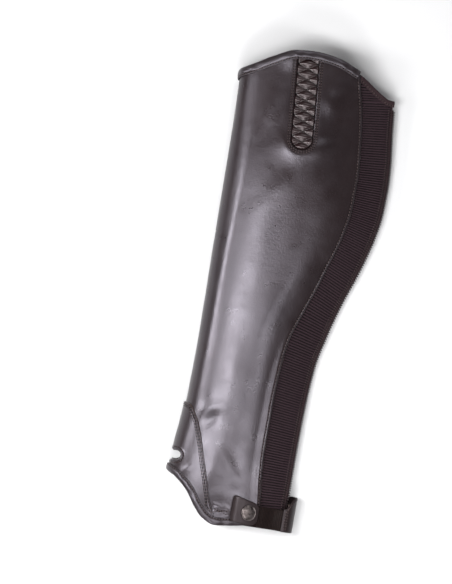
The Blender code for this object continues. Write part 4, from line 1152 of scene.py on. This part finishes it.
def elastic_gusset():
    """Ribbed elastic from under the leather's rear edge to the zip."""
    corner_y, foot_y, seam_top_y, per_rib = 213.0, -199.0, 229.5, 6
    right_y = np.arange(foot_y, corner_y, RIB_PITCH / per_rib)
    left_y = right_y + rib_slant(right_y)
    right_c = zip_share(right_y, OUTER_SIDE, PANEL_TO_ZIP)
    t = np.linspace(0, 1, 9 * per_rib + 1)[1:]
    corner_c = float(zip_share(corner_y, OUTER_SIDE, PANEL_TO_ZIP))
    top_c = share_at(36.5, 232.0, OUTER_SIDE)
    top_left_y = 208.0 + (seam_top_y - 208.0) * t
    sloping_c = corner_c + (top_c - corner_c) * t
    left_y = np.concatenate([left_y, top_left_y])[:, None]
    right_y = np.concatenate([right_y, elastic_top_edge(sloping_c)])[:, None]
    right_c = np.concatenate([right_c, sloping_c])[:, None]
    left_c = moved(seam_share(left_y), left_y, -SEAM_LAP)
    marks = np.concatenate([np.linspace(0, 0.95, 17), [0.975, 0.99, 1.0]])[None]
    c, y = left_c * (1 - marks) + right_c * marks, left_y * (1 - marks) + right_y * marks
    base = elastic_offset(c, y)
    row = np.arange(len(left_y))
    round_rib = np.array([0.0, 0.40, 0.60, 0.67, 0.60, 0.40])[row % per_rib][:, None]
    rib = round_rib * (1 + 0.25 * np.sin(row / 57.0))[:, None]
    from_zip = (1 - c) * half_length(y, OUTER_SIDE) - PANEL_TO_ZIP
    from_seam = (c - seam_share(y)) * half_length(y, OUTER_SIDE)
    form = 0.35 * np.sin(y / 31.0) * np.sin(math.pi * np.clip(marks, 0, 1)) + 0.1 * np.sin(y / 7.0 + c * 30)
    form = form * smoothstep(0.0, 6.0, from_seam)
    out = base + rib + form + groove(from_zip, 1.4, 0.6, 0.25)
    # The rib heights go along as "rib", from which the elastic's finish paints shade between the ribs
    gusset = sewn_wall(
        "elastic_gusset", off_skin(c, y, out), off_skin(c, y, base + form - ELASTIC),
        place_on_cut(c, y), ["ribbed_elastic", "elastic_back", "ribbed_elastic"],
        rib=(round_rib / round_rib.max()) ** 1.7,
    )
    line_y = np.arange(-196.0, 208.0, 1.0)
    line_c = zip_share(line_y, OUTER_SIDE, PANEL_TO_ZIP + 1.4)
    sew(line_c, line_y, elastic_offset(line_c, line_y) + 0.5, 2.3, 1.5, wide=0.7)
    ankle_y = np.arange(-190.0, -30.0, 1.0)
    line_c = moved(seam_share(ankle_y), ankle_y, 1.6)
    sew(line_c, ankle_y, elastic_offset(line_c, ankle_y) + 0.55, 2.9, 1.5, wide=0.8)
    settle(gusset, "elastic", "elastic_panel")
    return gusset


def zip_tapes():
    """A woven tape on each side of the zip, the outer one showing beside the elastic's edge."""
    distances = np.array([12.0, 11.8, 10.0, 7.5, 5.0, 4.2, 3.6, 3.2, 2.8, 2.4, 2.0, 1.7, 1.5])
    made = []
    for name, node, side in (
        ("outer_zip_tape", "zip_tape_outer", OUTER_SIDE), ("inner_zip_tape", "zip_tape_inner", INNER_SIDE),
    ):
        y = np.linspace(TAPE_FOOT, ZIP_HEAD[side], 330)[:, None]
        c = side * (1 - distances / half_length(y, side))
        y = np.broadcast_to(y, c.shape)
        base = elastic_offset(c, y) - ELASTIC if side == OUTER_SIDE else np.full(c.shape, -LEATHER)
        base = base - UNDER_GAP
        cord = 0.45 * np.exp(-(((distances - 1.7) / 0.8) ** 2)) + groove(distances, 3.2, 0.3, 0.2)
        outer = off_skin(c, y, base + cord if side == OUTER_SIDE else base)
        inner = off_skin(c, y, base - TAPE)
        place = np.stack([np.broadcast_to(distances, c.shape), y], axis=-1)
        tape = sewn_wall(name, outer, inner, place, ["satin_tape", "satin_tape", "satin_tape"])
        outwards(tape)
        made.append(settle(tape, "zip_tape", node))
    line_y = np.arange(-192.0, 207.0, 1.0)
    line_c = zip_share(line_y, OUTER_SIDE, 3.2)
    sew(line_c, line_y, elastic_offset(line_c, line_y) - ELASTIC - UNDER_GAP + 0.12, 2.3, 1.5, wide=0.8)
    return made


def zip_teeth():
    """A closed coil zip: a cord core with one coil turn modelled and copied along it."""
    foot, head = ZIP_FOOT, ZIP_HEAD[INNER_SIDE]
    middle = lambda y: np.array([zip_edge(y) - CHAIN_HALF_DEPTH + 0.5, y, rear_floor(y) + ZIP_HEIGHT])
    around = [math.tau * (j + 0.5) / 10 for j in range(10)]
    rings = np.array([
        [middle(y) + np.array([0.75 * math.cos(a) - 0.3, 0, 1.05 * math.sin(a)]) for a in around]
        for y in np.linspace(foot, head, 170)
    ])
    core = closed_sweep("zip_cord", rings, "satin_tape")
    settle(core, "zip_tape")
    bpy.ops.mesh.primitive_torus_add(
        major_segments=12, minor_segments=5, major_radius=1.0, minor_radius=0.36, location=(0, 0, 0)
    )
    shape, faces = take_shape("X", (1.35, 1.5, 1.2))
    shape[:, 1] += 0.22 * shape[:, 2]
    turns = [middle(y) + shape for y in np.arange(foot + 0.6, head - 0.4, TOOTH_PITCH)]
    settle(copies("zip_coil", turns, faces, "moulded_coil"), "zip_teeth", "zip_chain")


def shaped_block(name, centre, size, bevel, finish):
    """A block modelled at its place, with its long edges rounded over. centre and size are in mm."""
    bpy.ops.object.select_all(action="DESELECT")
    bpy.ops.mesh.primitive_cube_add(size=1.0, location=(0, 0, 0))
    block = bpy.context.object
    block.name = block.data.name = name
    bpy.ops.object.mode_set(mode="EDIT")
    bpy.ops.mesh.select_all(action="SELECT")
    bpy.ops.transform.resize(value=tuple(v / 1000 for v in size))
    bpy.ops.mesh.bevel(offset=bevel / 1000, segments=3, profile=0.5, affect="EDGES")
    at = Vector((np.asarray(centre, float) + ROW_SHIFT) / 1000)
    bpy.ops.transform.translate(value=at)
    bpy.ops.object.mode_set(mode="OBJECT")
    block.data.materials.append(FINISHES[finish])
    block.data.shade_smooth()
    return block


def join_pieces(name, parts):
    bpy.ops.object.select_all(action="DESELECT")
    for part in parts:
        part.select_set(True)
    bpy.context.view_layer.objects.active = parts[0]
    bpy.ops.object.join()
    parts[0].name = parts[0].data.name = name
    bpy.ops.object.select_all(action="DESELECT")
    return parts[0]


def zip_slider():
    """The slider's body with a waisted bridge, and its pull hanging down from it."""
    back = float(zip_edge(SLIDER_FOOT)) + 0.5 + SEAM_GAP
    height = float(rear_floor(SLIDER_FOOT)) + ZIP_HEIGHT
    blocks = [
        shaped_block(name, (back + out, SLIDER_FOOT + up, height), size, bevel, "dark_lacquer")
        for name, out, up, size, bevel in (
            ("slider_body", 0.8, 5.5, (1.6, 11.0, 7.6), 0.7),
            ("slider_bridge", 1.45, 6.4, (1.1, 6.0, 2.4), 0.5),
            ("pull_neck", 2.3, 4.2, (0.9, 4.0, 3.0), 0.4),
            ("pull_plate", 2.5, -3.6, (1.0, 13.4, 5.0), 0.45),
            ("pull_rib", 2.8, -6.0, (0.8, 5.0, 2.2), 0.35),
        )
    ]
    settle(join_pieces("slider_and_pull", blocks), "pewter", "zip_slider")


def inner_tapes():
    """Flat ribbed tapes sewn inside: one along each side of the insert and one along the elastic's seam."""
    foot, up, right, length = window_axes()
    marks = np.array([-1.0, -0.9, -0.45, 0.0, 0.45, 0.9, 1.0]) * INNER_TAPE_HALF_WIDTH
    under = -LEATHER - INSERT_GAP - INSERT_WALL - SEAM_GAP - 0.2
    grids = []
    for name, node, side in (
        ("front_insert_tape", "insert_tape_front", -1), ("rear_insert_tape", "insert_tape_rear", 1),
    ):
        along = np.linspace(-8.0, length - 4.0, 60)
        across = side * (WINDOW_HALF_WIDTH + 4.0) + marks
        x, y = np.moveaxis(np.array([[foot + up * m + right * a for a in across] for m in along]), -1, 0)
        grids.append((name, node, shares_at(x, y, OUTER_SIDE), y, under))
    y = np.linspace(-198.0, 224.0, 240)[:, None]
    c = moved(seam_share(y), y, -0.5 * SEAM_LAP) + marks / half_length(y, OUTER_SIDE)
    y = np.broadcast_to(y, c.shape)
    grids.append(("seam_backing_tape", "seam_tape", c, y, -LEATHER - UNDER_GAP - ELASTIC - SEAM_GAP))
    for name, node, c, y, level in grids:
        swell = 0.18 * np.cos(marks / INNER_TAPE_HALF_WIDTH * 1.4)
        place = np.stack([np.broadcast_to(marks, c.shape), y], axis=-1)
        face, back = off_skin(c, y, level), off_skin(c, y, level - TAPE - swell)
        settle(sewn_wall(name, face, back, place, ["black_tape"] * 3), "inner_tape", node)


# Strap


def evenly(path, step):
    """A line in X and Z with its points at even steps."""
    path = np.array(path, float)
    walked = walk(path)
    marks = np.linspace(0, walked[-1], max(8, int(round(walked[-1] / step)) + 1))
    fine = np.stack([np.interp(marks, walked, path[:, k]) for k in range(2)], axis=1)
    for _ in range(6):
        fine[1:-1] = 0.25 * fine[:-2] + 0.5 * fine[1:-1] + 0.25 * fine[2:]
    return fine


def ribbon(name, path, low, high, thick, finish, lift_of=None, inset=0.9):
    """A strap along a path in X and Z, between two edges along Y, with rounded edges.

    lift_of gives what is added to the far side's height at each path point.
    """
    tangent = unit(np.gradient(path, axis=0))
    normal = np.stack([tangent[:, 1], -tangent[:, 0]], axis=1)
    walked = walk(path)
    lift_of = np.zeros(len(path)) if lift_of is None else lift_of
    steps = np.array([0.0, 0.12, 0.35, 0.7, 1.0]) * inset
    far_line, near_line = [], []
    count = 14
    for k in range(2 * len(steps) + count):
        if k < len(steps):
            y, edge = low + steps[k], 1 - steps[k] / inset
        elif k < len(steps) + count:
            share = (k - len(steps) + 1) / (count + 1)
            y, edge = low + inset + (high - low - 2 * inset) * share, 0.0
        else:
            own = steps[::-1][k - len(steps) - count]
            y, edge = high - own, 1 - own / inset
        round_off = 0.5 * thick * (1 - math.sqrt(max(0.0, 1 - edge**2)))
        far_out, near_out = thick - round_off + lift_of * (1 - edge), round_off + 0 * lift_of
        for line, out in ((far_line, far_out), (near_line, near_out)):
            at = path + normal * np.asarray(out)[:, None]
            line.append((np.stack([at[:, 0], y, at[:, 1]], axis=1), np.stack([walked, y], axis=1)))
    # The ribs' heights go along as "rib", from which the webbing's finish paints shade between them
    rib = lift_of / max(1e-6, lift_of.max()) if lift_of.any() else None
    return sweep_between(name, far_line, near_line, finish, rib), normal


def height_over(x):
    """The height of the chap's outer side under the strap at x, at the highest place across the strap."""
    return max(float(on_skin(share_at(x, y, OUTER_SIDE), y)[2]) for y in (-209.0, -198.0, -187.0))


def strap():
    """Leather sewn under the inner side and looped round the zip's foot, then elastic, then the tab."""
    under = [(x, STRAP_LEATHER) for x in np.linspace(STRAP_START, 33.0, 20)]
    shoulder = (34.0, height_over(34.0) + 8.0)
    turn = (43.6, 12.0)
    out = bezier(under[-1], (41.0, STRAP_LEATHER), (43.6, 5.0), turn, 30)[1:]
    back = bezier(turn, (43.6, 18.0), (40.5, shoulder[1] - 0.5), shoulder, 30)[1:]
    path = evenly([*under, *map(tuple, out), *map(tuple, back)], 0.8)
    x = path[:, 0]
    after_turn = path[:, 1] > turn[1]
    down = np.where(after_turn, smoothstep(44.0, 35.0, x), smoothstep(40.0, 20.0, x))
    low = -210.5 + 2.0 * ~after_turn * down
    high = -176.0 - 12.5 * down
    base, normal = ribbon("strap_loop", path, low, high, STRAP_LEATHER, "strap_hide")
    settle(base, "leather", "strap_base")
    walked = walk(path)
    row = int(np.argmin(np.abs(walked - (walked[-1] - 2.0))))
    for k in (row, row - 2):
        across = np.linspace(low[k] + 1.6, high[k] - 1.6, 12)
        spot = path[k] + normal[k] * (STRAP_LEATHER + 0.08)
        line = np.stack([np.full(12, spot[0]), across, np.full(12, spot[1])], axis=1)
        sew_points(line, np.tile([normal[k][0], 0, normal[k][1]], (12, 1)), 2.4, 1.8)
    edge = slice(int(len(path) * 0.55), row)
    line = np.stack([path[edge, 0], high[edge] - 2.0, path[edge, 1]], axis=1)
    outward = np.stack([normal[edge, 0], 0 * line[:, 0], normal[edge, 1]], axis=1)
    sew_points(line + outward * (STRAP_LEATHER + 0.08), outward, 2.4, 1.8)

    loop_x, loop_z = back[::-1].T
    lie = []
    for x in np.linspace(39.5, -2.0, 30):
        clear = height_over(min(x, 34.0)) + STRAP_CLEARANCE
        under_loop = float(np.interp(x, loop_x, loop_z)) - STRAP_ELASTIC - SEAM_GAP - 0.2
        lie.append((x, clear + (under_loop - clear) * float(smoothstep(14.0, 33.0, x))))
    path = evenly(lie, 0.42)
    ribs = np.array([0.0, 0.26, 0.36, 0.26])[np.arange(len(path)) % 4]
    low, high = np.full(len(path), -210.3), np.full(len(path), -189.7)
    elastic, _ = ribbon("strap_webbing", path, low, high, STRAP_ELASTIC - 0.1, "strap_webbing", ribs, 0.6)
    settle(elastic, "strap_elastic", "strap_elastic")
    snap_cap(strap_tab())


def tab_edges(x):
    """The tab's lower and upper edge at x: a nearly square left end and a round right end."""
    round_end = 1.0 - np.sqrt(np.maximum(0.0, 1.0 - (np.maximum(0.0, x - 1.0) / 8.9) ** 2))
    left_corner = 0.8 * smoothstep(-12.0, -14.4, x)
    lean = smoothstep(3.0, -13.0, x)
    in_by = left_corner + 6.5 * round_end
    return -209.5 + 1.2 * lean + in_by, -186.5 + 3.4 * lean - in_by


def strap_tab():
    over_elastic = STRAP_CLEARANCE + STRAP_ELASTIC + SEAM_GAP
    line = []
    for x in np.linspace(9.6, -14.4, 26):
        curl = 3.6 * float(smoothstep(-10.4, -14.6, x)) ** 1.3
        stand = over_elastic + 0.1 - 0.2 * float(smoothstep(-3.0, -10.0, x)) - curl
        line.append((x, height_over(x) + stand))
    path = evenly(line, 0.45)
    low, high = tab_edges(path[:, 0])
    tab, _ = ribbon("snap_tab", path, low, high, STRAP_LEATHER, "strap_hide")
    settle(tab, "leather", "strap_tab")
    return path


def snap_cap(tab_path):
    """The snap's domed cap with a rolled rim, drawn up ring by ring and seated on the tab."""
    x, y = SNAP_AT
    xs, zs = tab_path[::-1].T
    slope = (np.interp(x + 6, xs, zs) - np.interp(x - 6, xs, zs)) / 12.0
    tilt = math.atan(slope)
    rise = float(np.interp(x, xs, zs)) + STRAP_LEATHER / math.cos(tilt) + SEAM_GAP
    rings = (
        (0.985, 0.02), (1.0, 0.10), (1.0, 0.36), (0.985, 0.50), (0.95, 0.60), (0.90, 0.61), (0.865, 0.56),
        (0.85, 0.50), (0.835, 0.50), (0.80, 0.58), (0.73, 0.69), (0.62, 0.80), (0.48, 0.90), (0.32, 0.96),
        (0.14, 0.995),
    )
    bpy.ops.object.select_all(action="DESELECT")
    bpy.ops.mesh.primitive_circle_add(vertices=56, radius=0.94 * SNAP_RADIUS / 1000, fill_type="NGON")
    cap = bpy.context.object
    cap.name = cap.data.name = "snap_dome"
    bpy.ops.object.mode_set(mode="EDIT")
    bpy.ops.mesh.select_all(action="SELECT")
    was_radius, was_height = 0.94, 0.0
    for radius, height in rings:
        bpy.ops.mesh.extrude_region_move(
            TRANSFORM_OT_translate={"value": (0, 0, (height - was_height) * SNAP_HEIGHT / 1000)}
        )
        bpy.ops.transform.resize(value=(radius / was_radius, radius / was_radius, 1))
        was_radius, was_height = radius, height
    bpy.ops.mesh.poke()
    bpy.ops.mesh.select_all(action="SELECT")
    bpy.ops.mesh.normals_make_consistent(inside=False)
    bpy.ops.object.mode_set(mode="OBJECT")
    cap.data.materials.append(FINISHES["old_pewter"])
    cap.data.shade_smooth()
    cap.rotation_euler = (0, -tilt, 0)
    cap.location = (np.array([x, y, rise]) + ROW_SHIFT) / 1000
    bpy.ops.object.transform_apply(location=True, rotation=True, scale=True)
    bpy.ops.object.select_all(action="DESELECT")
    settle(cap, "pewter", "snap_cap")


# Stage


# Softboxes: the angle from straight above towards the shin side, how far away, the place along the
# leg, the size along the leg and round it, all in metres, and how bright the face is
SOFTBOX_COLUMNS = ("name", "turn", "away", "y", "along_leg", "around", "radiance")
SOFTBOXES = [
    ("softbox_key", 21, 1.0, -0.12, 0.34, 0.46, 19.5),
    ("softbox_strip", 55, 0.9, 0.01, 0.26, 0.24, 26.0),
    ("softbox_top", -4, 1.0, -0.14, 0.30, 0.28, 8.5),
    ("softbox_low", -27, 1.0, -0.28, 0.26, 0.40, 12.0),
]
END_BOX_COLUMNS = ("name", "at", "aim", "wide", "long", "radiance")
END_BOXES = [
    ("softbox_back", (0.30, 1.15, 0.85), (0.08, 0.2, 0.0), 1.1, 0.5, 3.2),
    ("softbox_foot", (-0.05, -1.08, 1.05), (0.0, 0.1, 0.0), 0.7, 0.35, 15.0),
]
AIM_X = -0.05
FLOOR_SIZE = 9.0
SKY_TONE = (0.90, 0.88, 0.93, 1)
SKY_STRENGTH = 0.12


def softbox(name, at, aim, wide, long, radiance):
    light = bpy.data.lights.new(name, "AREA")
    light.shape = "RECTANGLE"
    light.size, light.size_y = wide, long
    light.energy = radiance * math.pi * wide * long
    lamp = in_scene(name, light)
    lamp.location = at
    lamp.rotation_euler = (Vector(aim) - Vector(at)).to_track_quat("-Z", "Y").to_euler()
    lamp.visible_camera = False


PHOTO_MIDDLE = (-56.8, 6.8)
PHOTO_LONG_SIDE = 0.5606
PHOTO_TURN = math.radians(10.0)
CAMERA_HEIGHT = 6.0
MEASURED_HEIGHT = 0.015


def stage():
    bpy.ops.mesh.primitive_plane_add(size=FLOOR_SIZE, location=(0, 0, 0))
    floor = bpy.context.object
    floor.name = floor.data.name = "floor"
    floor.data.materials.append(FINISHES["pale_floor"])
    bpy.ops.object.select_all(action="DESELECT")
    for name, turn, away, y, along_leg, around, radiance in SOFTBOXES:
        a = math.radians(turn)
        at = (AIM_X - away * math.sin(a), y, away * math.cos(a))
        softbox(name, at, (AIM_X, y, 0.0), along_leg, around, radiance)
    for box in END_BOXES:
        softbox(*box)
    world = bpy.data.worlds.new("studio")
    world.use_nodes = True
    sky = world.node_tree.nodes["Background"].inputs
    sky["Color"].default_value = SKY_TONE
    sky["Strength"].default_value = SKY_STRENGTH
    bpy.context.scene.world = world
    bpy.context.scene.view_settings.view_transform = "Standard"
    lens = bpy.data.cameras.new("photo_camera")
    lens.sensor_width = 36.0
    lens.lens = 36.0 * (CAMERA_HEIGHT - MEASURED_HEIGHT) / PHOTO_LONG_SIDE
    lens.clip_start, lens.clip_end = 0.1, 30.0
    camera = in_scene("photo_camera", lens)
    x, y = (np.array([*PHOTO_MIDDLE, 0.0]) + ROW_SHIFT)[:2] / 1000
    camera.location = (x, y, CAMERA_HEIGHT)
    camera.rotation_euler = (0, 0, PHOTO_TURN)
    bpy.context.scene.camera = camera


shell = leather_shell()
wrap = ankle_wrap()
strips = bindings()
quilted_insert()
gusset = elastic_gusset()
tapes = zip_tapes()
zip_teeth()
zip_slider()
inner_tapes()
strap()
make_stitches()
stage()
bpy.ops.object.select_all(action="DESELECT")
